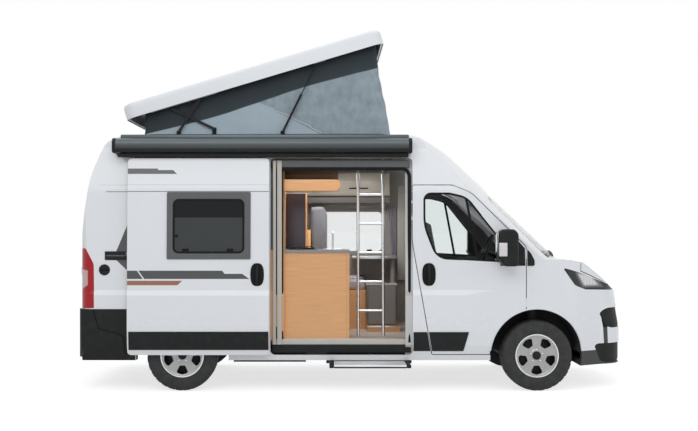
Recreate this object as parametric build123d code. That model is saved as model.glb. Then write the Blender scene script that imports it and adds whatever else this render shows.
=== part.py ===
"""A high-roof camper van with an open side door and a raised sleeping roof, in millimetres.

+X is forward, +Y is the van's left side and +Z is up. The origin is on the ground, under the
middle of the van's length and width.
"""

import math
import os

from build123d import *

# Overall sizes
LENGTH = 5413.0
WHEELBASE = 3450.0
FRONT_OVERHANG = 948.0
HALF_WIDTH = 1025.0
SILL_Z = 295.0
ROOF_Z = 2500.0
WALL = 55.0
FLOOR_Z = 500.0
FLOOR_THICKNESS = 50.0
RAIL_Y = 465.0
RAIL_WIDTH = 70.0
RAIL_HEIGHT = 70.0

# Wheels, axles and steering
TYRE_R = 341.0
TYRE_WIDTH = 215.0
RIM_R = 205.0
FRONT_TRACK = 1810.0
REAR_TRACK = 1790.0
SPOKES = 5
SPINDLE_R = 28.0
SPINDLE_REACH = 45.0
KINGPIN_Y = 775.0
KINGPIN_R = 20.0
KINGPIN_FOOT_Z = 235.0
KINGPIN_HEAD_Z = 525.0
BRAKE_R = 150.0
ARCH_R = 452.0
ARCH_DEPTH_Y = 560.0
LINER = 5.0

# Fits and shut lines
SEAT_GAP = 0.3
DOOR_GAP = 8.0
SWING_GAP = 8.0
HINGE_PIN_R = 3.7

# Where the axles and the ends of the van are
X_FRONT = LENGTH / 2
X_REAR = -LENGTH / 2
XF = X_FRONT - FRONT_OVERHANG
XR = XF - WHEELBASE
BUMPER_PROUD = 21.5
REAR_FACE = X_REAR + BUMPER_PROUD
SIDE_IN = HALF_WIDTH - 165.0
FAR = 4000.0

# Windscreen: a slice of a large cylinder, leaning back
SCREEN_SLOPE = 43.2
SCREEN_R = 2600.0
SCREEN_X = XF + 42.0
SCREEN_Z = 1570.0
COWL_Z = 1275.0
GLASS = 5.0
GLASS_INSET = 9.0

# Doors
FRONT_DOOR_REAR = XF - 1212.0
FRONT_DOOR_FRONT = XF - 104.0
DOOR_TOP_Z = 2002.0
DOOR_FOOT_Z = SILL_Z + WALL + 2.0
SIDE_DOOR_LENGTH = 1375.0
SIDE_DOOR_REAR = FRONT_DOOR_REAR - SIDE_DOOR_LENGTH
SIDE_DOOR_TOP_Z = 2262.0
PILLAR_WIDTH = 66.0
PILLAR_INSET = 30.0
SLID_X = -1384.0
SLID_Y = -76.0
REAR_DOOR_HALF = 800.0
REAR_DOOR_FOOT_Z = 560.0
REAR_DOOR_TOP_Z = 2180.0
REAR_PARTING = 5.0
REAR_REBATE = 25.0
REAR_LIP = 18.0
REAR_HINGE_Y = 830.0
REAR_HINGE_R = 10.0
REAR_HINGE_X = X_REAR + REAR_HINGE_R
REAR_HINGE_Z = (740.0, 1160.0)
REAR_HINGE_HEIGHT = 40.0
REAR_STRAP = 5.0
FRONT_PIN_Z = (860.0, 1330.0)
FRONT_PIN_HEIGHT = 90.0
BONNET_PIN_Y = 480.0
BONNET_PIN_LENGTH = 90.0
BONNET_REAR = XF + 440.0

# Camper windows in the left wall and the side door
FRAME_WIDTH = 38.0
FRAME_PROUD = 12.0
PANE_INSET = 8.0
PANE = 12.0

# Raised roof: it tips about the centre that its arms and struts swing it round
ROOF_TILT = 16.7
ROOF_PIVOT_X = -2752.0
ROOF_PIVOT_Z = 2546.0
POP_REAR = -2262.0
POP_FRONT = 403.0
POP_HALF = 845.0
POP_HEIGHT = 150.0
POP_WALL = 30.0
POP_GAP = 6.0
TENT_HALF = 772.0
TENT_REAR = -2105.0
TENT_FRONT = 350.0
TENT_CLOTH = 6.0
HATCH_REAR = -1100.0
HATCH_FRONT = 200.0
HATCH_HALF = 480.0
ARM_PIN_Z = ROOF_Z + 30.0
REAR_ARM_Z = ARM_PIN_Z + 34.0
ARM_HEIGHT = 26.0
ARM_THICKNESS = 8.0
ARM_PIN_R = 6.0
ARM_RAIL = 8.5
REAR_ARM_Y = 789.0
CROSS_ARM_Y = 800.0
STRUT_Y = 795.0
BRACKET_IN = 774.0
STRUT_R = 11.0
STRUT_ROD_R = 5.0
STRUT_BODY = 420.0
REAR_ARM_X = -1400.0
CROSS_ARM_X = -1752.0
STRUT_X = -723.0

# Awning case along the right roof edge
AWNING_REAR = -2350.0
AWNING_FRONT = 538.0
AWNING_Z = 2310.0
AWNING_HEIGHT = 140.0
AWNING_OUT = 1110.0

# Entry step
STEP_REAR = -260.0
STEP_FRONT = 520.0
STEP_TOP_Z = 284.0
STEP_THICKNESS = 34.0
STEP_OUT = 1240.0
STEP_DEPTH = 540.0

# Chassis mounts
JACK_PAD_R = 35.0
JACK_PAD = 12.0
TOW_HOLE_R = 6.5

# Furniture and cab
KITCHEN_REAR = -704.0
KITCHEN_FRONT = -67.0
KITCHEN_Z = 1337.0
BENCH_Z = 915.0
PODIUM_Z = 560.0
TABLE_Z = 1270.0
BED_FRONT = -1250.0
BED_Z = 1180.0
LADDER_REAR = 30.0
LADDER_FRONT = 282.0
SEAT_Y = 450.0
SEAT_Z = 890.0

# Mirrors
MIRROR_OUT = 1254.0
MIRROR_IN = 1062.0

NODES = {}


def outline(rows):
    """A closed flat face from rows of (u, v, corner radius)."""
    points = [(u, v) for u, v, r in rows]
    radii = [r for u, v, r in rows]
    return make_face(FilletPolyline(*points, radius=radii, close=True))


def along_x(face, x0, x1):
    return extrude(Plane.YZ.offset(x0) * face, amount=x1 - x0)


def along_y(face, y0, y1):
    return extrude(Plane.XZ.offset(-y1) * face, amount=y1 - y0)


def along_z(face, z0, z1):
    return extrude(Plane.XY.offset(z0) * face, amount=z1 - z0)


def block(x0, x1, y0, y1, z0, z1):
    return Pos((x0 + x1) / 2, (y0 + y1) / 2, (z0 + z1) / 2) * Box(x1 - x0, y1 - y0, z1 - z0)


def rod_x(y, z, r, x0, x1):
    return Pos((x0 + x1) / 2, y, z) * Rot(0, 90, 0) * Cylinder(r, x1 - x0)


def rod_y(x, z, r, y0, y1):
    return Pos(x, (y0 + y1) / 2, z) * Rot(90, 0, 0) * Cylinder(r, y1 - y0)


def rod_z(x, y, r, z0, z1):
    return Pos(x, y, (z0 + z1) / 2) * Cylinder(r, z1 - z0)


def rounded_rect(u0, u1, v0, v1, r):
    return outline([(u0, v0, r), (u1, v0, r), (u1, v1, r), (u0, v1, r)])


def grown(face, amount):
    return offset(face, amount=amount, kind=Kind.INTERSECTION) if amount else face


def mirrored(shape):
    return mirror(shape, about=Plane.XZ)


def add(name, *shapes):
    """Keeps the solids of one named piece."""
    solids = [s for shape in shapes for s in shape.solids()]
    NODES[name] = solids[0] if len(solids) == 1 else Compound(children=solids)


def add_pair(name, right):
    """Keeps a right-hand piece and its left-hand mirror image as two nodes."""
    add(name + "_right", right)
    add(name + "_left", mirrored(right))


# The body's three outlines. Rows are (u, v, corner radius).
def section_rows():
    """Across the body: y, z."""
    w = HALF_WIDTH
    half = [
        (w - 85, SILL_Z - 90, 30),
        (w - 15, SILL_Z + 145, 60),
        (w, 640, 300),
        (w, 930, 40),
        (w - 14, 985, 40),
        (w - 14, 1250, 400),
        (w - 40, 1940, 600),
        (w - 88, ROOF_Z - 160, 260),
        (w - 150, ROOF_Z, 80),
    ]
    return half + [(-y, z, r) for y, z, r in reversed(half)]


def side_rows():
    """Along the body: x, z. The windscreen stretch stands clear of the screen's own cylinder."""
    return [
        (REAR_FACE, SILL_Z, 0),
        (REAR_FACE, 1450, 2200),
        (REAR_FACE + 95, 2080, 900),
        (REAR_FACE + 240, ROOF_Z - 70, 160),
        (REAR_FACE + 420, ROOF_Z + 4, 500),
        (XF - 1198, ROOF_Z + 4, 500),
        (XF - 570, 2215, 0),
        (XF + 80, 1610, 0),
        (XF + 420, COWL_Z + 25, 0),
        (XF + 732, 1150, 200),
        (XF + 897, 900, 350),
        (X_FRONT, 640, 300),
        (X_FRONT, 450, 200),
        (X_FRONT - 16, 330, 120),
        (X_FRONT - 146, 235, 40),
        (XF + 392, 235, 0),
        (XF - 470, SILL_Z, 0),
    ]


def plan_rows():
    """Looking down: x, y. The straight stretch stands just clear of the section's widest part."""
    w = HALF_WIDTH + 4
    half = [
        (REAR_FACE, w, 150),
        (XF - 800, w, 4000),
        (XF + 340, w - 50, 500),
        (XF + 800, w - 325, 420),
        (X_FRONT + 4, w - 775, 900),
    ]
    return half + [(x, -y, r) for x, y, r in reversed(half)]


def screen_plane():
    """On the windscreen's middle, with local x across the van and local y up the slope."""
    slope = math.radians(SCREEN_SLOPE)
    normal = (math.sin(slope), 0, math.cos(slope))
    return Plane(origin=(SCREEN_X, 0, SCREEN_Z), x_dir=(0, 1, 0), z_dir=normal)


def screen_barrel(inset):
    """The long leaning cylinder whose front is the windscreen."""
    plane = screen_plane()
    axis = Plane(
        origin=plane.origin - plane.z_dir * SCREEN_R, x_dir=plane.x_dir, z_dir=plane.y_dir
    )
    return axis * Cylinder(SCREEN_R - inset, 4 * FAR)


def body_hull(inset=0.0):
    """The closed outer form of the body, moved in by inset all over."""
    section = along_x(grown(outline(section_rows()), -inset), -FAR, FAR)
    side = along_y(grown(outline(side_rows()), -inset), -FAR, FAR)
    plan = along_z(grown(outline(plan_rows()), -inset), 0, FAR)
    above_cowl = block(0, FAR, -FAR, FAR, COWL_Z - inset, FAR)
    return (section & side & plan) - (above_cowl - screen_barrel(inset))


def front_door_face():
    return outline(
        [
            (FRONT_DOOR_REAR, DOOR_TOP_Z, 20),
            (FRONT_DOOR_REAR, 1440, 900),
            (FRONT_DOOR_REAR + 190, DOOR_FOOT_Z, 20),
            (XF - 300, DOOR_FOOT_Z, 0),
            (FRONT_DOOR_FRONT, DOOR_FOOT_Z + 300, 0),
            (FRONT_DOOR_FRONT, 1400, 60),
            (XF - 640, DOOR_TOP_Z - 72, 300),
            (XF - 820, DOOR_TOP_Z, 250),
        ]
    )


def front_window_face():
    """Door glass from the rear corner to the mirror corner."""
    return outline(
        [
            (FRONT_DOOR_REAR + 112, DOOR_TOP_Z - 78, 70),
            (FRONT_DOOR_REAR + 112, 1600, 500),
            (FRONT_DOOR_REAR + 235, 1285, 160),
            (FRONT_DOOR_FRONT - 60, 1240, 30),
            (XF - 680, DOOR_TOP_Z - 118, 200),
            (XF - 850, DOOR_TOP_Z - 78, 120),
        ]
    )


def side_door_face():
    return rounded_rect(SIDE_DOOR_REAR, FRONT_DOOR_REAR, DOOR_FOOT_Z, SIDE_DOOR_TOP_Z, 40)


def rear_door_face():
    return rounded_rect(-REAR_DOOR_HALF, REAR_DOOR_HALF, REAR_DOOR_FOOT_Z, REAR_DOOR_TOP_Z, 60)


def rear_window_face():
    """Glass of the right rear leaf, seen from behind: y, z."""
    return rounded_rect(-690, -130, 1290, 1850, 60)


def screen_face():
    """Windscreen outline on the screen plane: across, up the slope."""
    return outline(
        [
            (-860, -262, 60),
            (-740, 560, 90),
            (0, 605, 2000),
            (740, 560, 90),
            (860, -262, 60),
            (0, -408, 2600),
        ]
    )


def headlamp_face():
    return outline(
        [
            (XF + 255, 1195, 10),
            (XF + 560, 1150, 80),
            (X_FRONT + 50, 1060, 0),
            (X_FRONT + 50, 985, 0),
            (XF + 500, 985, 60),
            (XF + 380, 1030, 60),
        ]
    )


def bonnet_face():
    """Everything above the lamps and ahead of the cowl."""
    return outline(
        [
            (BONNET_REAR, COWL_Z + 200, 0),
            (BONNET_REAR, 1182, 0),
            (XF + 560, 1160, 80),
            (X_FRONT + 50, 1068, 0),
            (X_FRONT + 50, COWL_Z + 200, 0),
        ]
    )


def bumper_face():
    """Everything below the lamps and ahead of the front wheel."""
    return outline(
        [
            (XF + 330, 100, 0),
            (XF + 330, 640, 0),
            (XF + 420, 1000, 40),
            (XF + 500, 977, 60),
            (X_FRONT + 50, 977, 0),
            (X_FRONT + 50, 100, 0),
        ]
    )


def grille_faces():
    """Front openings, seen from ahead: y, z."""
    upper = [(-800, 790, 60), (800, 790, 60), (760, 590, 50), (-760, 590, 50)]
    lower = [(-830, 440, 30), (830, 440, 30), (780, 250, 40), (-780, 250, 40)]
    return [outline(upper), outline(lower)]


def tail_lamp_face():
    return outline(
        [
            (REAR_FACE - 50, 1385, 0),
            (REAR_FACE + 60, 1385, 20),
            (REAR_FACE + 140, 1235, 120),
            (REAR_FACE + 145, 806, 10),
            (REAR_FACE - 50, 806, 0),
        ]
    )


def side_of(y0, y1):
    return block(-FAR, FAR, y0, y1, 0, FAR)


def arch(x, r):
    """The space of one right-hand wheel arch."""
    return rod_y(x, TYRE_R, r, -FAR, -ARCH_DEPTH_Y)


# Camper windows, seen from the side: rear edge, front edge, foot, top
SIDE_WINDOW = (-1819 - SLID_X, -1022 - SLID_X, 1287, 1927)
LEFT_WINDOWS = ((-470, 390, 1275, 1800), (-2130, -1430, 1290, 1800))


def window_hole(window, margin=0.0):
    x0, x1, z0, z1 = window
    inset = FRAME_WIDTH + margin
    return rounded_rect(x0 + inset, x1 - inset, z0 + inset, z1 - inset, 60)


def window_rim(window):
    x0, x1, z0, z1 = window
    return rounded_rect(x0, x1, z0, z1, 80)


class Skin:
    """The body's skins, made once and shared by the panels that are cut from them."""

    def __init__(self):
        self.outer = body_hull()
        self.inner = body_hull(WALL)
        self.glass_out = body_hull(GLASS_INSET)
        self.glass_in = body_hull(GLASS_INSET + GLASS)
        self.room = body_hull(WALL + SEAT_GAP)
        self.swing_room = body_hull(WALL + SWING_GAP)
        self.right_outer = self.outer & side_of(-FAR, 0)

    def panel(self, tool):
        """Full wall thickness inside a tool."""
        return (self.outer & tool) - self.inner

    def pane(self, tool):
        return (self.glass_out & tool) - self.glass_in


def build_panels(skin):
    """Walls, roof, front end, doors, lamps and glass: one skin, split where the panels meet."""
    split_z = DOOR_TOP_Z + DOOR_GAP / 2
    upper = block(-FAR, FAR, -FAR, FAR, split_z, FAR)
    right = side_of(-FAR, -SIDE_IN)
    door_hole = along_y(grown(front_door_face(), DOOR_GAP / 2), -FAR, -SIDE_IN)
    screen_tool = extrude(screen_plane() * screen_face(), amount=300, both=True)
    pillar = body_hull(PILLAR_INSET) & block(
        FRONT_DOOR_REAR - PILLAR_WIDTH, FRONT_DOOR_REAR + 20, -FAR, 0, 0, FAR
    )
    side_opening = along_y(grown(side_door_face(), DOOR_GAP / 2), -FAR, -SIDE_IN) - pillar
    rear_opening = along_x(grown(rear_door_face(), DOOR_GAP / 2), -FAR, REAR_FACE + 600)
    below_rear = block(
        -FAR, REAR_FACE + 600, -REAR_DOOR_HALF, REAR_DOOR_HALF, 0, REAR_DOOR_FOOT_Z + 100
    )
    underside = block(-FAR, FAR, -SIDE_IN, SIDE_IN, 0, FLOOR_Z)
    hatch = along_z(
        rounded_rect(HATCH_REAR, HATCH_FRONT, -HATCH_HALF, HATCH_HALF, 90), ROOF_Z - 200, FAR
    )
    roof = skin.panel(upper) - side_opening - rear_opening - hatch - screen_tool
    brackets = roof_brackets()
    add("roof_panel", roof + brackets + mirrored(brackets))

    # Right side of everything below the roof; the left side is its mirror image
    lower = block(-FAR, FAR, -FAR, 0, 0, split_z)
    half = skin.panel(lower) - door_hole - arch(XF, ARCH_R) - arch(XR, ARCH_R)
    rear_zone = block(-FAR, FRONT_DOOR_REAR + 400, -FAR, FAR, 0, FAR)
    rear_zone = rear_zone + block(-FAR, XF - 100, -FAR, FAR, 0, DOOR_FOOT_Z + 100)
    lamp_tool = along_y(tail_lamp_face(), -FAR, -REAR_DOOR_HALF - 40)
    wall = (half & rear_zone) - rear_opening - below_rear - underside
    tail_lamp = wall & lamp_tool
    wall = wall - lamp_tool
    hinges = rear_hinge_posts()
    add("right_wall", largest(wall - side_opening) + hinges)
    left_wall = mirrored(largest(wall) + hinges)
    for window in LEFT_WINDOWS:
        left_wall = left_wall - along_y(window_hole(window), 0, FAR)
    add("left_wall", left_wall)

    # Front end
    bonnet_hole = along_y(bonnet_face(), -FAR, 0)
    bonnet_tool = along_y(grown(bonnet_face(), -DOOR_GAP), -FAR, 0)
    lamp_hole = along_y(headlamp_face(), -FAR, -430)
    bumper_tool = along_y(bumper_face(), -FAR, 0)
    nose = (half - rear_zone) - (underside & block(-FAR, XF + 330, -FAR, FAR, 0, FAR))
    fender = nose - screen_tool - bonnet_hole - lamp_hole - bumper_tool
    add("front_body", largest(fender + mirrored(fender)), *front_door_pins(skin), *bonnet_pins())
    hood = (nose & bonnet_tool) - lamp_hole
    add("bonnet", hood + mirrored(hood))
    headlamp = (nose & lamp_hole) - bumper_tool - bonnet_hole
    add("lamps", headlamp, mirrored(headlamp), tail_lamp, mirrored(tail_lamp))
    bumper = nose & bumper_tool
    grilles = []
    for face in grille_faces():
        tool = along_x(face, XF + 400, FAR)
        opening = bumper & tool
        bumper = bumper - tool
        grille = opening & body_hull(14)
        grilles.append(grille + mirrored(grille))
    add("front_bumper", bumper + mirrored(bumper))
    add("black_trim", rear_bumper(skin), *grilles)
    pane = extrude(screen_plane() * grown(screen_face(), -SEAT_GAP), amount=300, both=True)
    add("windscreen", (pane & screen_barrel(GLASS_INSET)) - screen_barrel(GLASS_INSET + GLASS))

    # Front doors with their glass
    door_tool = along_y(grown(front_door_face(), -DOOR_GAP / 2), -FAR, -SIDE_IN)
    door = skin.panel(door_tool) - arch(XF, ARCH_R + SWING_GAP)
    add_pair("front_door", door - along_y(front_window_face(), -FAR, 0))
    pane_tool = along_y(grown(front_window_face(), -SEAT_GAP), -FAR, -SIDE_IN)
    add_pair("front_glass", skin.pane(pane_tool))

    # Side door, slid back beside the rear quarter
    rebate = body_hull(PILLAR_INSET - 3) & block(
        FRONT_DOOR_REAR - PILLAR_WIDTH - DOOR_GAP, FAR, -FAR, 0, 0, FAR
    )
    side_door = skin.panel(along_y(grown(side_door_face(), -DOOR_GAP / 2), -FAR, -SIDE_IN))
    side_door = side_door - rebate - along_y(window_hole(SIDE_WINDOW), -FAR, 0)
    side_door = Pos(SLID_X, SLID_Y, 0) * side_door
    add("side_door", side_door)
    add("door_rails", *door_rails(skin, side_door))

    # Rear doors; their inner edges are set back, so that one leaf swings clear of the other
    leaf = skin.panel(
        along_x(grown(rear_door_face(), -DOOR_GAP / 2), -FAR, REAR_FACE + 500)
        & side_of(-FAR, -REAR_PARTING)
    )
    leaf = leaf - block(REAR_FACE + WALL, FAR, -FAR, FAR, 0, 1300)
    leaf = leaf - (body_hull(REAR_LIP) & side_of(-REAR_REBATE, 0))
    leaf = leaf - along_x(rear_window_face(), -FAR, FAR)
    add_pair("rear_door", leaf + rear_hinge_leaves())
    pane_tool = along_x(grown(rear_window_face(), -SEAT_GAP), -FAR, REAR_FACE + 500)
    add_pair("rear_glass", skin.pane(pane_tool))


def largest(shape):
    return max(shape.solids(), key=lambda solid: solid.volume)


def skin_y(skin, x, z):
    """How far out the right-hand skin is at one place."""
    probe = skin.outer & block(x - 0.5, x + 0.5, -FAR, 0, z - 0.5, z + 0.5)
    return probe.bounding_box().min.Y


def front_hinge_y(skin):
    return min(skin_y(skin, FRONT_DOOR_FRONT, z) for z in FRONT_PIN_Z)


def front_door_pins(skin):
    """Hinge pins in the front shut lines of both front doors."""
    y = front_hinge_y(skin)
    half = FRONT_PIN_HEIGHT / 2
    pins = [rod_z(FRONT_DOOR_FRONT, y, HINGE_PIN_R, z - half, z + half) for z in FRONT_PIN_Z]
    return pins + [mirrored(pin) for pin in pins]


def bonnet_pins():
    """Hinge pins in the shut line behind the bonnet."""
    x = BONNET_REAR + DOOR_GAP / 2
    y0 = BONNET_PIN_Y - BONNET_PIN_LENGTH / 2
    pin = rod_y(x, COWL_Z, HINGE_PIN_R, y0, y0 + BONNET_PIN_LENGTH)
    return [pin, mirrored(pin)]


def rear_hinge_leaves():
    """The right rear door's middle knuckles, with straps that reach over the shut line."""
    half = REAR_HINGE_HEIGHT / 2
    leaves = []
    for z in REAR_HINGE_Z:
        y = -REAR_HINGE_Y
        knuckle = rod_z(REAR_HINGE_X, y, REAR_HINGE_R, z - half, z + half)
        x0 = REAR_HINGE_X - REAR_STRAP / 2
        strap = block(x0, x0 + REAR_STRAP, y, y + 45, z - half, z + half)
        foot = block(x0, REAR_FACE, y + 45, y + 110, z - half, z + half)
        leaves.append(knuckle + strap + foot)
    return leaves[0] + leaves[1]


def rear_hinge_posts():
    """The knuckles above and below, standing on the right rear corner."""
    half = REAR_HINGE_HEIGHT / 2
    y = -REAR_HINGE_Y
    posts = None
    for z in REAR_HINGE_Z:
        for side in (-1, 1):
            near = z + side * (half + SEAT_GAP)
            far = near + side * half
            low, high = sorted((near, far))
            post = rod_z(REAR_HINGE_X, y, REAR_HINGE_R, low, high)
            post = post + block(REAR_HINGE_X, REAR_FACE, y - 8, y + 8, low, high)
            posts = post if posts is None else posts + post
    return posts


def rear_bumper(skin):
    """A layer round the rear corners, with a beam between them below the doors."""
    face = outline(
        [
            (X_REAR - 50, 330, 0),
            (REAR_FACE + 440, 330, 30),
            (REAR_FACE + 430, 540, 60),
            (REAR_FACE + 190, 600, 60),
            (REAR_FACE + 135, 795, 30),
            (X_REAR - 50, 795, 0),
        ]
    )
    layer = (body_hull(-BUMPER_PROUD) & along_y(face, -FAR, FAR)) - skin.outer
    top = REAR_DOOR_FOOT_Z - 2 * SWING_GAP
    layer = layer - block(-FAR, FAR, -REAR_HINGE_Y - 30, REAR_HINGE_Y + 30, top, FAR)
    y = REAR_DOOR_HALF - SEAT_GAP
    beam = block(REAR_FACE, REAR_FACE + WALL + SWING_GAP, -y, y, 335, top)
    return layer + beam


def door_rails(skin, side_door):
    """Outside rail on the rear quarter, and the three arms that carry the slid door."""
    rear = SIDE_DOOR_REAR + SLID_X - 20
    rail = body_hull(-14) & block(rear, SIDE_DOOR_REAR - 20, -FAR, -SIDE_IN, 1312, 1348)
    rail = rail - skin.outer
    arms = []
    for x, y, z in ((-2140, -1055, 1330), (-890, -1055, 420), (-890, -990, 2228)):
        arm = block(x - 40, x + 40, y, -SIDE_IN, z - 14, z + 14)
        arms.append(arm - skin.outer - side_door - rail)
    return [rail, *arms]


def build_windows():
    """Camper windows: frames standing on the skin and panes set into the wall."""
    frames = []
    panes = []
    proud = body_hull(-FRAME_PROUD)
    outer = body_hull()
    pane_out = body_hull(PANE_INSET)
    pane_in = body_hull(PANE_INSET + PANE)
    places = [(window, 0, FAR, Pos(0, 0, 0)) for window in LEFT_WINDOWS]
    places.append((SIDE_WINDOW, -FAR, 0, Pos(SLID_X, SLID_Y, 0)))
    for window, y0, y1, move in places:
        rim = along_y(window_rim(window), y0, y1) - along_y(window_hole(window), y0, y1)
        frames.append(move * ((proud & rim) - outer))
        hole = along_y(window_hole(window, SEAT_GAP), y0, y1)
        panes.append(move * ((pane_out & hole) - pane_in))
    add("window_frames", *frames)
    add("window_panes", *panes)


def build_floor(skin):
    """Floor, bulkhead, rails and cross-members in one piece."""
    z0 = FLOOR_Z - FLOOR_THICKNESS
    rail_foot = z0 - RAIL_HEIGHT
    rear_x = REAR_FACE + WALL + SWING_GAP
    slab = block(rear_x, XF + 190, -FAR, FAR, z0, FLOOR_Z)
    bulkhead = block(XF + 150, XF + 190, -FAR, FAR, z0, COWL_Z - WALL - 10)
    floor = (slab + bulkhead) & skin.room
    door = along_y(grown(front_door_face(), DOOR_GAP), -FAR, FAR) - skin.swing_room
    floor = floor - door
    for x in (XF, XR):
        floor = floor - arch(x, ARCH_R) - mirrored(arch(x, ARCH_R))
    members = [
        (REAR_FACE + 260, REAR_FACE + 330, rail_foot + 10, z0),
        (XR + 740, XR + 810, rail_foot + 10, z0),
        (XF - 720, XF - 650, rail_foot + 10, z0),
        (XF + 320, XF + 400, rail_foot + 10, rail_foot + 40),
    ]
    for x0, x1, low, high in members:
        floor = floor + block(x0, x1, -RAIL_Y, RAIL_Y, low, high)
    for side in (-1, 1):
        y0 = side * RAIL_Y - RAIL_WIDTH / 2
        rail = block(rear_x, X_FRONT - 420, y0, y0 + RAIL_WIDTH, rail_foot, z0)
        for x in (REAR_FACE + 130, REAR_FACE + 210):
            rail = rail - rod_y(x, rail_foot + RAIL_HEIGHT / 2, TOW_HOLE_R, y0 - 5, y0 + RAIL_WIDTH + 5)
        floor = floor + rail
        for x in (XR + 660, XF - 600):
            floor = floor + rod_z(x, side * RAIL_Y, JACK_PAD_R, rail_foot - JACK_PAD, rail_foot)
    add("floor_pan", floor)


def build_liners():
    """A lining inside each wheel arch, with a hole for what passes to the wheel."""
    skin_in = body_hull(6)
    liners = []
    for x, hole in ((XF, 210.0), (XR, 70.0)):
        body = rod_y(x, TYRE_R, ARCH_R - SEAT_GAP, -FAR, -ARCH_DEPTH_Y - SEAT_GAP)
        space = rod_y(x, TYRE_R, ARCH_R - LINER, -FAR, -ARCH_DEPTH_Y - LINER)
        liner = (body - space - rod_y(x, TYRE_R, hole, -FAR, 0)) & skin_in
        liner = largest(liner & block(-FAR, FAR, -FAR, 0, SILL_Z + WALL + 5, FAR))
        liners += [liner, mirrored(liner)]
    add("wheel_arch_liners", *liners)


def wheel(side, x, track):
    """Rim and tyre of one wheel; side is -1 on the right and 1 on the left."""
    half = TYRE_WIDTH / 2
    tyre_rows = [
        (RIM_R, -half + 30, 6),
        (RIM_R + 30, -half + 4, 30),
        (RIM_R + 80, -half, 60),
        (TYRE_R - 15, -half + 8, 15),
        (TYRE_R, -half + 32, 30),
    ]
    tyre_rows = tyre_rows + [(r, -y, f) for r, y, f in reversed(tyre_rows)]
    bead = RIM_R - SEAT_GAP
    rim_rows = [
        (bead - 9, -half + 14, 0),
        (RIM_R + 7, -half + 14, 2),
        (RIM_R + 7, -half + 20, 2),
        (bead, -half + 20, 2),
        (bead, half - 20, 2),
        (RIM_R + 7, half - 20, 2),
        (RIM_R + 7, half - 14, 2),
        (bead - 9, half - 14, 0),
    ]
    disc_rows = [
        (0, 46, 0),
        (62, 46, 0),
        (62, -10, 0),
        (84, -10, 0),
        (90, 40, 20),
        (bead - 12, 58, 10),
        (bead - 5, 58, 0),
        (bead - 5, 86, 0),
        (bead - 25, 80, 20),
        (70, 62, 40),
        (55, 70, 4),
        (0, 70, 0),
    ]
    tyre = revolve(outline(tyre_rows), Axis.Y)
    rim = revolve(outline(rim_rows), Axis.Y) + revolve(outline(disc_rows), Axis.Y)
    rim = rim + rod_y(0, 0, 62, -10, 46)
    rim = rim - rod_y(0, 0, SPINDLE_R + SEAT_GAP, -20, SPINDLE_REACH + SEAT_GAP)
    window = outline([(98, -26, 14), (168, -62, 22), (186, 0, 0), (168, 62, 22), (98, 26, 14)])
    for i in range(SPOKES):
        cutter = along_y(Rot(0, 0, 90 + i * 360 / SPOKES) * window, 20, half)
        rim = rim - cutter
    place = Pos(x, side * track / 2, TYRE_R)
    if side < 0:
        tyre = mirrored(tyre)
        rim = mirrored(rim)
    return place * rim, place * tyre


WHEELS = (
    ("front_right", -1, XF, FRONT_TRACK),
    ("front_left", 1, XF, FRONT_TRACK),
    ("rear_right", -1, XR, REAR_TRACK),
    ("rear_left", 1, XR, REAR_TRACK),
)


def build_wheels():
    for name, side, x, track in WHEELS:
        rim, tyre = wheel(side, x, track)
        add("rim_" + name, rim)
        add("tyre_" + name, tyre)


def brake(x, track):
    """Back plate behind a right-hand wheel."""
    y = -(track / 2 - 95)
    return rod_y(x, TYRE_R, BRAKE_R, y, y + 12)


def build_knuckles():
    reach = FRONT_TRACK / 2 + SPINDLE_REACH
    knuckle = rod_z(XF, -KINGPIN_Y, KINGPIN_R, KINGPIN_FOOT_Z, KINGPIN_HEAD_Z)
    knuckle = knuckle + rod_y(XF, TYRE_R, SPINDLE_R, -reach, -KINGPIN_Y) + brake(XF, FRONT_TRACK)
    add_pair("knuckle", knuckle)


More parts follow.
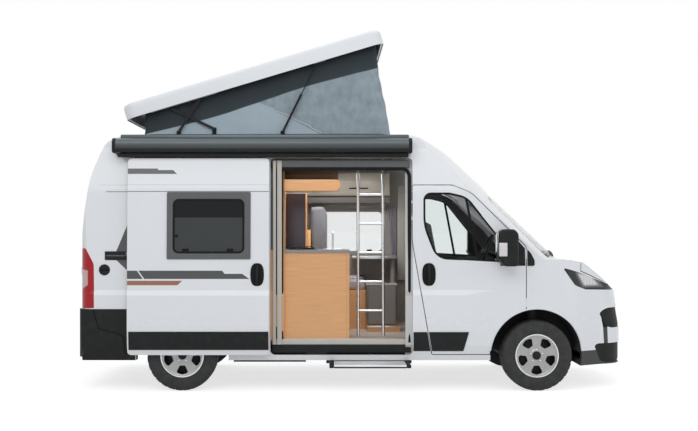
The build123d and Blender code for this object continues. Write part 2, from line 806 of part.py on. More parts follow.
def build_axles():
    """Front arms and spring struts, and the rear beam on its leaf springs."""
    z0 = FLOOR_Z - FLOOR_THICKNESS - RAIL_HEIGHT
    arm_top = KINGPIN_FOOT_Z - SEAT_GAP
    y_rail = RAIL_Y + RAIL_WIDTH / 2
    front = block(XF - 80, XF + 80, -y_rail, y_rail, z0 - 80, z0)
    for side in (-1, 1):
        low, high = sorted((side * 340, side * y_rail))
        front = front + block(XF - 60, XF + 60, low, high, arm_top - 30, z0 - 80)
        low, high = sorted((side * 340, side * (KINGPIN_Y - 75)))
        front = front + block(XF - 45, XF + 45, low, high, arm_top - 30, arm_top)
        low, high = sorted((side * (KINGPIN_Y - 75), side * (KINGPIN_Y + 5)))
        front = front + block(XF - 18, XF + 18, low, high, arm_top - 30, arm_top)
    strut_r = 50
    top = TYRE_R + math.sqrt((ARCH_R - LINER) ** 2 - strut_r**2) - SEAT_GAP
    foot = KINGPIN_HEAD_Z + SEAT_GAP
    strut = rod_z(XF, -KINGPIN_Y + 60, strut_r, foot + 15, top)
    strut = strut + block(XF - 20, XF + 20, -KINGPIN_Y - 5, -KINGPIN_Y + 95, foot, foot + 20)
    beam_end = REAR_TRACK / 2 - 95
    beam_r = 36
    rear = rod_y(XR, TYRE_R, beam_r, -beam_end, beam_end)
    spindle_end = REAR_TRACK / 2 + SPINDLE_REACH
    rear = rear + rod_y(XR, TYRE_R, SPINDLE_R, -spindle_end, spindle_end)
    rear = rear + brake(XR, REAR_TRACK) + mirrored(brake(XR, REAR_TRACK))
    spring_z = TYRE_R - beam_r - 14
    end_z = z0 - 22
    lower = ThreePointArc((XR - 620, end_z), (XR, spring_z), (XR + 620, end_z))
    upper = ThreePointArc((XR - 620, end_z + 14), (XR, spring_z + 14), (XR + 620, end_z + 14))
    ends = [Line(lower @ 0, upper @ 0), Line(lower @ 1, upper @ 1)]
    leaf_face = make_face([lower, upper, *ends])
    for side in (-1, 1):
        y0 = side * RAIL_Y - 30
        rear = rear + along_y(leaf_face, y0, y0 + 60)
        rear = rear + block(XR - 60, XR + 60, y0 - 5, y0 + 65, spring_z - 12, TYRE_R)
        for x in (XR - 605, XR + 605):
            rear = rear + block(x - 15, x + 15, y0, y0 + 60, end_z, z0)
    add("axles", front, strut, mirrored(strut), rear)


def build_underfloor(skin):
    """Fuel tank, waste-water tank, exhaust and the entry step's housing."""
    z1 = FLOOR_Z - FLOOR_THICKNESS
    fuel = block(XR + 840, XR + 1540, 120, 420, 240, z1)
    waste = block(XR + 490, XR + 1200, -855, -540, 265, z1)
    pipe = rod_x(-250, 345, 28, XR + 600, XF - 150)
    silencer = rod_x(-250, 345, 70, XR + 1000, XR + 1600)
    hanger = block(XR + 1280, XR + 1320, -270, -230, 345, z1)
    exhaust = pipe + silencer + hanger
    y0 = -SIDE_IN + 5
    roof_z = STEP_TOP_Z + SEAT_GAP
    housing = block(STEP_REAR - 30, STEP_FRONT + 30, y0, -560, roof_z, z1)
    for x0, x1 in ((STEP_REAR - 30, STEP_REAR - SEAT_GAP), (STEP_FRONT + SEAT_GAP, STEP_FRONT + 30)):
        housing = housing + block(x0, x1, y0, -560, STEP_TOP_Z - STEP_THICKNESS, roof_z)
    add("underfloor", fuel, waste, exhaust, housing)
    tread = along_z(
        outline(
            [
                (STEP_REAR, -STEP_OUT, 40),
                (STEP_FRONT, -STEP_OUT, 40),
                (STEP_FRONT, -STEP_OUT + STEP_DEPTH, 0),
                (STEP_REAR, -STEP_OUT + STEP_DEPTH, 0),
            ]
        ),
        STEP_TOP_Z - STEP_THICKNESS,
        STEP_TOP_Z,
    )
    add("step", tread)


def build_mirrors():
    """Door mirrors: a tall head on a short arm."""
    face = outline(
        [
            (XF - 416, 1235, 40),
            (XF - 416, 1530, 60),
            (XF - 270, 1574, 60),
            (XF - 216, 1500, 60),
            (XF - 216, 1250, 40),
        ]
    )
    head = along_y(face, -MIRROR_OUT, -MIRROR_IN)
    arm = block(XF - 350, XF - 250, -MIRROR_IN - 60, -SIDE_IN, 1150, 1260)
    add_pair("mirror", (head + arm) - body_hull(-SEAT_GAP))


def rounded_block(x0, x1, y0, y1, z0, z1, r):
    shape = block(x0, x1, y0, y1, z0, z1)
    return fillet(shape.edges(), r)


def build_furniture(skin):
    """Cabinets, tops, bed and bench. Sizes are given where each piece stands in the van."""
    kitchen = block(KITCHEN_REAR, KITCHEN_FRONT, -915, -520, FLOOR_Z, KITCHEN_Z)
    tall = block(KITCHEN_REAR - 396, KITCHEN_REAR, -FAR, -420, FLOOR_Z, 2150)
    shelf_face = outline(
        [
            (KITCHEN_REAR - 10, 1946, 0),
            (KITCHEN_REAR + 559, 1946, 50),
            (KITCHEN_REAR + 559, 2058, 50),
            (KITCHEN_REAR - 10, 2058, 0),
        ]
    )
    shelf = along_y(shelf_face, -FAR, -640)
    galley = (kitchen + tall + shelf) & skin.room
    bench = block(-460, 128, 60, 905, FLOOR_Z, BENCH_Z)
    podium = block(134, 480, -250, 905, FLOOR_Z, PODIUM_Z)
    ottoman = rounded_block(134, 450, -200, 70, PODIUM_Z, 990, 25)
    lockers = block(-1150, 418, 600, FAR, 1942, 2195) & skin.room
    bed = block(REAR_FACE + 85, BED_FRONT, -895, 895, BED_Z - 30, BED_Z)
    for side in (-1, 1):
        low, high = sorted((side * 530, side * 895))
        bed = bed + block(REAR_FACE + 125, BED_FRONT - 40, low, high, FLOOR_Z, BED_Z - 30)
    wheel_box = rod_y(XR, TYRE_R, ARCH_R + SEAT_GAP, -FAR, -ARCH_DEPTH_Y + SEAT_GAP)
    bed = bed - wheel_box - mirrored(wheel_box)
    add("cabinets", galley, bench, podium + ottoman, lockers, bed & skin.room)

    top = block(KITCHEN_REAR, KITCHEN_FRONT + 8, -925, -510, KITCHEN_Z, KITCHEN_Z + 30) & skin.room
    table = block(-10, 480, 330, 900, TABLE_Z - 30, TABLE_Z)
    table = table + rod_z(440, 430, 30, PODIUM_Z, TABLE_Z - 20)
    add("worktops", top, table)

    seat = rounded_block(-286, 150, 80, 890, BENCH_Z, BENCH_Z + 130, 40)
    back = rounded_block(-460, -292, 80, 890, BENCH_Z, 1832, 40)
    add("bench_cushions", seat, back)
    add("mattress", rounded_block(REAR_FACE + 95, BED_FRONT - 10, -890, 890, BED_Z, BED_Z + 140, 40))
    add("curtain", block(385, 515, 905, FAR, 1084, 1832) & skin.room)

    rails = []
    for x in (LADDER_REAR, LADDER_FRONT):
        rails.append(tube((x, -645, FLOOR_Z - 40), (x, -505, ROOF_Z), 15))
    ladder = rails[0] + rails[1]
    for i in range(1, 7):
        share = i / 7
        y = -645 + 140 * share
        z = FLOOR_Z - 40 + (ROOF_Z - FLOOR_Z + 40) * share
        ladder = ladder + rod_x(y, z, 12, LADDER_REAR, LADDER_FRONT)
    add("ladder", ladder & block(-FAR, FAR, -FAR, FAR, FLOOR_Z, ROOF_Z - WALL - SEAT_GAP))


def tube(start, end, r):
    """A round bar between two points."""
    line = Line(start, end)
    return Plane(origin=line @ 0.5, z_dir=line % 0.5) * Cylinder(r, line.length)


def build_cab(skin):
    """Seats, dashboard, steering wheel and engine."""
    seat_face = outline(
        [
            (XF - 1028, SEAT_Z, 40),
            (XF - 518, SEAT_Z, 40),
            (XF - 493, SEAT_Z + 110, 50),
            (XF - 578, SEAT_Z + 160, 60),
            (XF - 878, SEAT_Z + 120, 90),
            (XF - 1013, 1660, 50),
            (XF - 1108, 1690, 45),
            (XF - 1158, 1640, 45),
        ]
    )
    seat = along_y(seat_face, -SEAT_Y - 240, -SEAT_Y + 240)
    head = rounded_block(XF - 1173, XF - 1078, -SEAT_Y - 140, -SEAT_Y + 140, 1722, 1880, 30)
    for y in (-SEAT_Y - 70, -SEAT_Y + 70):
        head = head + rod_z(XF - 1115, y, 8, 1640, 1740)
    seat = seat + head
    add("front_seats", seat, mirrored(seat))

    dash_face = outline(
        [
            (XF - 60, 950, 40),
            (XF - 110, 1180, 60),
            (XF - 40, 1320, 60),
            (XF + 150, 1262, 0),
            (XF + 150, 700, 0),
            (XF + 60, 700, 30),
        ]
    )
    dash = along_y(dash_face, -FAR, FAR) & skin.swing_room
    space = arch(XF, ARCH_R + SEAT_GAP)
    dash = dash - space - mirrored(space)
    plane = Plane(origin=(XF - 300, SEAT_Y, 1330), x_dir=(0, 1, 0), z_dir=(-0.89, 0, 0.456))
    wheel_ring = Torus(190, 15) + Cylinder(45, 36) + Box(370, 30, 14) + Pos(0, -95, 0) * Box(30, 190, 14)
    column = Pos(0, 0, -200) * Cylinder(26, 400)
    steering = (plane * (wheel_ring + column)) - dash
    pedestal = block(XF - 978, XF - 558, -SEAT_Y - 190, -SEAT_Y + 190, FLOOR_Z, SEAT_Z)
    add("cab_fittings", dash, largest(steering), pedestal, mirrored(pedestal))
    z0 = FLOOR_Z - FLOOR_THICKNESS - RAIL_HEIGHT + 40
    add("engine", rounded_block(XF + 262, XF + 722, -350, 350, z0, 1050, 30))


def build_awning(skin):
    """Closed awning case standing on the roof's right shoulder."""
    z1 = AWNING_Z + AWNING_HEIGHT
    face = outline(
        [(-AWNING_OUT, AWNING_Z, 35), (-SIDE_IN, AWNING_Z, 0), (-SIDE_IN, z1, 0), (-AWNING_OUT, z1, 55)]
    )
    add("awning", largest(along_x(face, AWNING_REAR, AWNING_FRONT) - skin.outer))


def tipped(shape):
    """Swings a shape of the closed roof up to where it stands open."""
    to_pivot = Pos(ROOF_PIVOT_X, 0, ROOF_PIVOT_Z)
    back = Pos(-ROOF_PIVOT_X, 0, -ROOF_PIVOT_Z)
    return to_pivot * Rot(0, -ROOF_TILT, 0) * back * shape


def tipped_point(x, z):
    a = math.radians(ROOF_TILT)
    u = x - ROOF_PIVOT_X
    v = z - ROOF_PIVOT_Z
    return (
        ROOF_PIVOT_X + u * math.cos(a) - v * math.sin(a),
        ROOF_PIVOT_Z + u * math.sin(a) + v * math.cos(a),
    )


def lift_geometry():
    """Foot and head, open, of the rear arm, the cross arm and the gas strut: x, z pairs."""
    return {
        "rear": ((REAR_ARM_X, REAR_ARM_Z), tipped_point(REAR_ARM_X - 480, REAR_ARM_Z)),
        "cross": ((CROSS_ARM_X, ARM_PIN_Z), tipped_point(CROSS_ARM_X + 262, ARM_PIN_Z - 20)),
        "strut": ((STRUT_X, ARM_PIN_Z), tipped_point(STRUT_X + 456, ARM_PIN_Z + 5)),
    }


def flat_bar(foot, head, y):
    """A right-hand arm with round ends, bored for its foot pin, with a pin at its head."""
    (x0, z0), (x1, z1) = foot, head
    length = math.hypot(x1 - x0, z1 - z0)
    angle = math.degrees(math.atan2(z1 - z0, x1 - x0))
    slot = SlotCenterToCenter(length, ARM_HEIGHT)
    face = Pos((x0 + x1) / 2, (z0 + z1) / 2, 0) * Rot(0, 0, angle) * slot
    bar = along_y(face, -y - ARM_THICKNESS / 2, -y + ARM_THICKNESS / 2)
    bar = bar - rod_y(x0, z0, ARM_PIN_R + SEAT_GAP, -y - 50, -y + 50)
    rail_in = POP_HALF - POP_WALL - ARM_RAIL
    return bar + rod_y(x1, z1, ARM_PIN_R, -rail_in + SEAT_GAP, -y)


def build_roof_lift():
    """The tipping roof shell, its arms, struts and the cloth walls."""
    z0 = ROOF_Z + POP_GAP
    z1 = z0 + POP_HEIGHT
    shell = along_z(rounded_rect(POP_REAR, POP_FRONT, -POP_HALF, POP_HALF, 120), z0, z1)
    shell = fillet(shell.faces().sort_by(Axis.Z)[-1].edges(), 45)
    inner = POP_HALF - POP_WALL
    cavity = rounded_rect(POP_REAR + POP_WALL, POP_FRONT - POP_WALL, -inner, inner, 90)
    shell = shell - along_z(cavity, z0 - 1, z1 - POP_WALL)
    rails = (
        (REAR_ARM_X - 600, REAR_ARM_X + 80, REAR_ARM_Z + 20),
        (STRUT_X + 400, STRUT_X + 520, ARM_PIN_Z + 20),
    )
    for x0, x1, top in rails:
        for side in (-1, 1):
            low, high = sorted((side * (inner - ARM_RAIL), side * (inner + 1)))
            shell = shell + block(x0, x1, low, high, ARM_PIN_Z - 26, top)
    add("pop_top", tipped(shell))

    lift = lift_geometry()
    for name, key, y in (("rear_arms", "rear", REAR_ARM_Y), ("cross_arms", "cross", CROSS_ARM_Y)):
        bar = flat_bar(*lift[key], y)
        add(name, bar, mirrored(bar))

    (x0, z0), (x1, z1) = lift["strut"]
    length = math.hypot(x1 - x0, z1 - z0)
    plane = Plane(origin=(x0, -STRUT_Y, z0), x_dir=(0, 1, 0), z_dir=(x1 - x0, 0, z1 - z0))
    body = plane * (Pos(0, 0, STRUT_BODY / 2) * Cylinder(STRUT_R, STRUT_BODY))
    eye = STRUT_R - 2
    body = body + rod_y(x0, z0, ARM_PIN_R + 7, -STRUT_Y - eye, -STRUT_Y + eye)
    bore_start = 40
    bore = Pos(0, 0, (bore_start + STRUT_BODY) / 2 + 5) * Cylinder(
        STRUT_ROD_R + SEAT_GAP, STRUT_BODY - bore_start + 10
    )
    body = body - plane * bore
    body = body - rod_y(x0, z0, ARM_PIN_R + SEAT_GAP, -STRUT_Y - 50, -STRUT_Y + 50)
    add("strut_cylinders", body, mirrored(body))
    rod_start = STRUT_BODY - 20
    rod = plane * (Pos(0, 0, (rod_start + length) / 2) * Cylinder(STRUT_ROD_R, length - rod_start))
    rail_in = POP_HALF - POP_WALL - ARM_RAIL
    rod = rod + rod_y(x1, z1, STRUT_ROD_R + 5, -rail_in + SEAT_GAP, -STRUT_Y + 6)
    add("strut_rods", rod, mirrored(rod))

    top_z = ROOF_Z + POP_GAP + POP_HEIGHT - POP_WALL - 2 * SEAT_GAP
    rear_top = tipped_point(TENT_REAR + 45, top_z)
    front_top = tipped_point(TENT_FRONT, top_z)
    foot = ROOF_Z + SEAT_GAP
    wedge = outline([(TENT_REAR, foot, 0), (TENT_FRONT, foot, 0), (*front_top, 0), (*rear_top, 0)])
    cloth = along_y(wedge, -TENT_HALF, TENT_HALF)
    t = TENT_CLOTH
    rear_in = tipped_point(TENT_REAR + 45 + t, top_z + 20)
    front_in = tipped_point(TENT_FRONT - t, top_z + 20)
    hollow = outline(
        [(TENT_REAR + t, foot - 20, 0), (TENT_FRONT - t, foot - 20, 0), (*front_in, 0), (*rear_in, 0)]
    )
    add("tent_fabric", cloth - along_y(hollow, -TENT_HALF + t, TENT_HALF - t))


def roof_brackets():
    """Brackets and pins on the roof for the feet of the arms and struts, right-hand side."""
    brackets = None
    feet = (
        (REAR_ARM_X, REAR_ARM_Y, REAR_ARM_Z, ARM_THICKNESS / 2),
        (CROSS_ARM_X, CROSS_ARM_Y, ARM_PIN_Z, ARM_THICKNESS / 2),
        (STRUT_X, STRUT_Y, ARM_PIN_Z, STRUT_R),
    )
    for x, y, z, thick in feet:
        plate = block(x - 20, x + 20, -y + thick + SEAT_GAP, -BRACKET_IN, ROOF_Z - 2, z + 15)
        pin = rod_y(x, z, ARM_PIN_R, -y - thick, -BRACKET_IN - 2)
        piece = plate + pin
        brackets = piece if brackets is None else brackets + piece
    return brackets


def main():
    os.makedirs("parts", exist_ok=True)
    skin = Skin()
    build_panels(skin)
    build_windows()
    build_floor(skin)
    build_liners()
    build_wheels()
    build_knuckles()
    build_axles()
    build_underfloor(skin)
    build_mirrors()
    build_furniture(skin)
    build_cab(skin)
    build_awning(skin)
    build_roof_lift()
    for name, shape in NODES.items():
        export_step(shape, f"parts/{name}.step")


if __name__ == "__main__":
    main()
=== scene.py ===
"""Looks of the camper van: finishes for its solids, and the trim, cloth and fittings that dress them."""

import math

import bpy
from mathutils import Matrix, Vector


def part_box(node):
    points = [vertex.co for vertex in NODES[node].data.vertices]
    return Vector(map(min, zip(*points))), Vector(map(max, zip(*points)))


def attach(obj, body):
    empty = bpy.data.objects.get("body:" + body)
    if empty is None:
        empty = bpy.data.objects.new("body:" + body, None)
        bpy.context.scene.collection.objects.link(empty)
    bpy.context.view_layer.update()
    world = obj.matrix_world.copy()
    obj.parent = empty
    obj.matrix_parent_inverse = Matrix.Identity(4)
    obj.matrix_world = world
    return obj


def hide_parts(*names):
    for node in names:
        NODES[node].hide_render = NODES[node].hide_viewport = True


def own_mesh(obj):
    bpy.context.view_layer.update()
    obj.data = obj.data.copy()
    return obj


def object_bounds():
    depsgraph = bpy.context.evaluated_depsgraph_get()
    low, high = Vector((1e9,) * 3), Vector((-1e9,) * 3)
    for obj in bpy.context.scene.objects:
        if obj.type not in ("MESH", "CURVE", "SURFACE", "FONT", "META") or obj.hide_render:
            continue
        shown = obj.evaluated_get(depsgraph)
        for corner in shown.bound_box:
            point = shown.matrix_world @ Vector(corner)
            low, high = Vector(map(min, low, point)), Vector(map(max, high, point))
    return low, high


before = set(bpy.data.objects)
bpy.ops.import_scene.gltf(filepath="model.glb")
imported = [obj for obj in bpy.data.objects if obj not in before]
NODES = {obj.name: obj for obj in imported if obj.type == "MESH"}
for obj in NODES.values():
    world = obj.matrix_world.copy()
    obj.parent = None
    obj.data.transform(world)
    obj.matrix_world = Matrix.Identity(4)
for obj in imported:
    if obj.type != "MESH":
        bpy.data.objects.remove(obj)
CAD_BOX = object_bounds()

bl_info = {
    "name": "Camper van looks",
    "version": (1, 0, 0),
    "blender": (4, 5, 0),
    "location": "3D View > Sidebar > Camper",
    "description": "Dresses the packed camper van with finishes, trim, cloth and a studio",
    "category": "Object",
}

HALF_WIDTH = 1.025
RIGHT, LEFT = -1, 1
SIDE_NAMES = {RIGHT: "right", LEFT: "left"}
SLID_OUT = 0.076
FRONT_AXLE_X, REAR_AXLE_X = 1.7585, -1.6915
HUB_Z = 0.341
WHEELS = {
    "front_right": (FRONT_AXLE_X, -0.905),
    "front_left": (FRONT_AXLE_X, 0.905),
    "rear_right": (REAR_AXLE_X, -0.895),
    "rear_left": (REAR_AXLE_X, 0.895),
}
# Rows of start, end and by how much: the sill draws in below, the side above
SILL_TUCKS = ((0.44, 0.64, 0.015), (0.205, 0.44, 0.07))
SIDE_TUCKS = ((0.93, 0.985, 0.014), (1.25, 1.94, 0.026), (1.94, 2.34, 0.048), (2.34, 2.5, 0.062))
# The same seen from above, from the cab to the nose
NOSE_HALF = 1.029
NOSE_TUCKS = ((0.958, 2.098, 0.05), (2.098, 2.558, 0.275))
# The roof falls to the nose and at its tail, and the rear doors lean in
ROOF_Z = 2.5
ROOF_FALLS = ((0.56, 1.188, 0.289), (1.188, 1.838, 0.6))
ROOF_TAIL = (-2.445, -2.265, 0.074)
REAR_X = -2.685
REAR_TUCKS = ((1.45, 2.08, 0.095), (2.08, 2.43, 0.145))
# The windscreen lies on a leaning barrel: its middle, the way out, the outer and the glass radius
SCREEN_X, SCREEN_Z = 1.8005, 1.570
OUT_X, OUT_Z = 0.6845, 0.729
BARREL_R, SCREEN_R = 2.6, 2.591


def share(value, low, high):
    return min(1.0, max(0.0, (value - low) / (high - low)))


def drawn_in(value, tucks):
    """How far rows of tucks draw a skin in at one place."""
    return sum(tuck * share(value, low, high) for low, high, tuck in tucks)


def skin_y(x, z):
    """Half width of the body's outer skin at one place along and up it."""
    sill = sum(tuck * (1 - share(z, low, high)) for low, high, tuck in SILL_TUCKS)
    return min(HALF_WIDTH - sill - drawn_in(z, SIDE_TUCKS), NOSE_HALF - drawn_in(x, NOSE_TUCKS))


def rear_x(z):
    """Where the rear doors' outer skin stands at a height."""
    return REAR_X + drawn_in(z, REAR_TUCKS)


def toned(colour, part):
    return tuple(part * c for c in colour)


def quad(low, high, *xs):
    """An upright outline between two heights, by where its four corners stand along."""
    return list(zip(xs, (low, high, high, low)))


def box_rows(x0, x1, y0, y1, radius):
    """Corner rows of a rounded box."""
    return [(x0, y0, radius), (x1, y0, radius), (x1, y1, radius), (x0, y1, radius)]


def tint(name, description, default):
    return bpy.props.FloatVectorProperty(
        name=name, description=description, default=default, subtype="COLOR", min=0, max=1
    )


def length(name, description, default):
    return bpy.props.FloatProperty(
        name=name, description=description, default=default, unit="LENGTH", min=0
    )


class CamperColours(bpy.types.PropertyGroup):
    """Colours of the van that a user would change."""

    white: tint("Body white", "Paint of the body and the sleeping roof", (0.76, 0.78, 0.81))
    graphite: tint("Stripe graphite", "Dark foil stripes", (0.052, 0.055, 0.058))
    copper: tint("Stripe copper", "Copper foil stripe", (0.30, 0.125, 0.068))
    # Painted shade: a dark line for the shade in the pressed groove of the side, and a grey line for the
    # shade in the crease above it
    seam: tint("Seam", "Dark line of the pressed groove in the side", (0.12, 0.125, 0.13))
    crease: tint("Crease", "Faint line above it", (0.52, 0.54, 0.57))
    black: tint("Black plastic", "Grained mouldings, bumpers and mirrors", (0.008, 0.0085, 0.009))
    case: tint("Awning case", "Anodised awning case", (0.105, 0.125, 0.135))
    # Painted shadow: the dark band that the roof casts along the top of the tent
    tent_roof_shadow: tint("Tent upper cloth", "Upper band of the roof tent", (0.028, 0.036, 0.041))
    tent_light: tint("Tent lower cloth", "Lower part of the roof tent", (0.41, 0.50, 0.56))
    wood: tint("Beech", "Furniture fronts", (0.70, 0.370, 0.165))
    locker: tint("Locker", "Overhead locker fronts", (0.46, 0.42, 0.35))
    worktop: tint("Worktop", "Kitchen worktop and table", (0.25, 0.23, 0.23))
    lining: tint("Lining", "Wall and ceiling lining", (0.42, 0.40, 0.37))
    seat: tint("Seat cloth", "Cab seats", (0.075, 0.075, 0.08))
    bench: tint("Bench cloth", "Bench cushions", (0.44, 0.41, 0.46))
    mattress: tint("Mattress cloth", "Rear bed", (0.58, 0.57, 0.55))
    curtain: tint("Curtain", "Window curtain", (0.50, 0.48, 0.56))
    alloy: tint("Wheel silver", "Alloy wheels", (0.36, 0.36, 0.36))
    red: tint("Tail lamp red", "Rear lamp lens", (0.46, 0.006, 0.012))


class CamperSizes(bpy.types.PropertyGroup):
    """Sizes of the dressing that a user would change."""

    tread: length("Tread depth", "Depth of the tyre grooves", 0.0045)
    moulding: length("Moulding thickness", "How far side mouldings stand out", 0.006)
    fold: length("Tent fold", "Depth of the folds in the roof tent", 0.02)
    piping: length("Piping", "Radius of the cushion piping", 0.004)


class CamperStudio(bpy.types.PropertyGroup):
    """Light of the studio."""

    key: bpy.props.FloatProperty(
        name="Front light", description="Power of the big front light", default=300, unit="POWER"
    )
    room: bpy.props.FloatProperty(
        name="Room light", description="Power of the soft light inside", default=16, unit="POWER"
    )
    fill: bpy.props.FloatProperty(
        name="Sky light", description="Strength of the even light all round", default=0.5, min=0
    )


class Value:
    """A number that varies over a surface; sums and products of it become Math nodes."""

    def __init__(self, finish, socket):
        self.finish = finish
        self.socket = socket

    def __add__(self, other):
        return self.finish.math("ADD", self, other)

    __radd__ = __add__

    def __sub__(self, other):
        return self.finish.math("SUBTRACT", self, other)

    def __rsub__(self, other):
        return self.finish.math("SUBTRACT", other, self)

    def __mul__(self, other):
        return self.finish.math("MULTIPLY", self, other)

    __rmul__ = __mul__

    def __abs__(self):
        return self.finish.math("ABSOLUTE", self)

    def wave(self, pitch):
        """From 0 to 1 and back once for every pitch."""
        return self.finish.math("SINE", self * (2 * math.pi / pitch)) * 0.5 + 0.5

    def least(self, other):
        return self.finish.math("MINIMUM", self, other)

    def ramp(self, low, high, kind="LINEAR"):
        node = self.finish.node(
            "ShaderNodeMapRange",
            {"interpolation_type": kind, "clamp": True},
            {"Value": self, "From Min": low, "From Max": high},
        )
        return Value(self.finish, node.outputs[0])

    def above(self, edge, soft=0.002):
        return self.ramp(edge - soft / 2, edge + soft / 2, "SMOOTHSTEP")


class Finish:
    """One procedural material, read from the place on the piece."""

    def __init__(self, name, color, roughness=0.5, metallic=0.0, **constants):
        self.material = bpy.data.materials.new(name)
        self.material.use_nodes = True
        self.tree = self.material.node_tree
        self.tree.nodes.clear()
        self.shader = self.node("ShaderNodeBsdfPrincipled")
        output = self.node("ShaderNodeOutputMaterial", {}, {"Surface": self.shader.outputs[0]})
        self.surface = output.inputs["Surface"]
        self.set("Base Color", color)
        self.set("Roughness", roughness)
        self.set("Metallic", metallic)
        for socket, value in constants.items():
            self.set(socket.replace("_", " "), value)
        self.place = self.node("ShaderNodeTexCoord").outputs["Object"]
        split = self.node("ShaderNodeSeparateXYZ", {}, {"Vector": self.place})
        self.x, self.y, self.z = (Value(self, output) for output in split.outputs)

    def node(self, kind, settings=None, sockets=None):
        """Adds a node: its settings first, then the values or links of its sockets."""
        node = self.tree.nodes.new(kind)
        for name, value in (settings or {}).items():
            setattr(node, name, value)
        for name, value in (sockets or {}).items():
            self.feed(node.inputs[name], value)
        return node

    def feed(self, socket, value):
        if isinstance(value, Value):
            value = value.socket
        if isinstance(value, bpy.types.NodeSocket):
            self.tree.links.new(value, socket)
        elif socket.type == "RGBA":
            socket.default_value = (*value[:3], 1)
        else:
            socket.default_value = value

    def set(self, name, value):
        self.feed(self.shader.inputs[name], value)

    def math(self, operation, *values):
        sockets = dict(enumerate(values))
        node = self.node("ShaderNodeMath", {"operation": operation}, sockets)
        return Value(self, node.outputs[0])

    def mix(self, first, second, factor):
        sockets = {0: factor, 6: first, 7: second}
        return self.node("ShaderNodeMix", {"data_type": "RGBA"}, sockets).outputs[2]

    def noise(self, scale, detail=3.0, stretch=None):
        place = self.place
        if stretch:
            sockets = {"Vector": place, "Scale": stretch}
            place = self.node("ShaderNodeMapping", {}, sockets).outputs[0]
        sockets = {"Vector": place, "Scale": scale, "Detail": detail}
        return Value(self, self.node("ShaderNodeTexNoise", {}, sockets).outputs[0])

    def cells(self, scale):
        sockets = {"Vector": self.place, "Scale": scale}
        return Value(self, self.node("ShaderNodeTexVoronoi", {}, sockets).outputs[0])

    def along(self):
        """The piece's own map: across, and up."""
        uv = self.node("ShaderNodeTexCoord").outputs["UV"]
        split = self.node("ShaderNodeSeparateXYZ", {}, {"Vector": uv})
        return Value(self, split.outputs[0]), Value(self, split.outputs[1])

    def bump(self, height, depth, strength=1.0):
        sockets = {"Height": height, "Distance": depth, "Strength": strength}
        self.set("Normal", self.node("ShaderNodeBump", {}, sockets).outputs[0])

    def patch(self, points, soft=0.002):
        """1 inside a convex outline of (x, z) points that runs clockwise, seen from the right."""
        mask = None
        for (x0, z0), (x1, z1) in zip(points, points[1:] + points[:1]):
            run = math.hypot(x1 - x0, z1 - z0)
            nx, nz = (z1 - z0) / run, -(x1 - x0) / run
            edge = (self.x * nx + self.z * nz).above(x0 * nx + z0 * nz, soft)
            mask = edge if mask is None else mask * edge
        return mask


FINISHES = {}


def finish(name):
    """The named finish, made the first time that a piece asks for it."""
    if name not in FINISHES:
        maker, settings = MAKERS[name]
        FINISHES[name] = maker(name, bpy.context.scene.camper_colours, **settings).material
    return FINISHES[name]


def hull_depth(f, slid=0.0):
    """How deep a place lies under the body's outer skin."""

    def tucked(depth, place, tucks):
        for low, high, tuck in tucks:
            depth = depth - tuck * place.ramp(low, high)
        return depth

    side = HALF_WIDTH + slid - abs(f.y)
    for low, high, tuck in SILL_TUCKS:
        side = side - tuck * (1 - f.z.ramp(low, high))
    side = tucked(side, f.z, SIDE_TUCKS)
    plan = tucked(NOSE_HALF + slid - abs(f.y), f.x, NOSE_TUCKS)
    low, high, fall = ROOF_TAIL
    top = tucked(ROOF_Z - f.z, f.x, ROOF_FALLS) - fall * (1 - f.x.ramp(low, high))
    rear = tucked(f.x - REAR_X, f.z, REAR_TUCKS)
    lean = (f.x - SCREEN_X) * OUT_X + (f.z - SCREEN_Z) * OUT_Z + BARREL_R
    barrel = BARREL_R - f.math("SQRT", f.y * f.y + lean * lean)
    return side.least(plan).least(top).least(rear).least(barrel)


def body_paint(name, colours, foils=(), slid=0.0, lined=True, inner=None):
    """White gloss paint, with road film low down, and lining on the inner side."""
    f = Finish(name, colours.white, 0.27, Coat_Weight=0.35, Coat_Roughness=0.08)
    drift = f.noise(2.3, 4)
    film = 1 - f.z.ramp(0.25, 0.75)
    white = tuple(colours.white)
    shade = f.mix(white, toned(white, 0.985), drift)
    shade = f.mix(shade, (0.44, 0.43, 0.41), film * (0.05 + 0.07 * drift))
    rough = 0.23 + 0.06 * f.noise(9.0, 5) + 0.1 * film
    for tone, outline in foils:
        mask = f.patch(outline)
        shade = f.mix(shade, tuple(getattr(colours, tone)), mask)
        if tone == "black":
            rough = rough + (0.6 - rough) * mask
            f.set("Coat Weight", 0.35 * (1 - mask))
            f.set("Metallic", 0.8 * mask)
    peel = f.noise(420, 2)
    if lined:
        inside = hull_depth(f, slid).above(0.03, 0.004)
        felt = f.noise(900, 2)
        lining = tuple(inner or colours.lining)
        shade = f.mix(shade, f.mix(lining, toned(lining, 0.8), felt), inside)
        rough = rough + (0.85 - rough) * inside
        peel = peel * (1 - inside) + 6 * felt * inside
    f.set("Base Color", shade)
    f.set("Roughness", rough)
    f.bump(peel, 0.0004, 0.35)
    return f


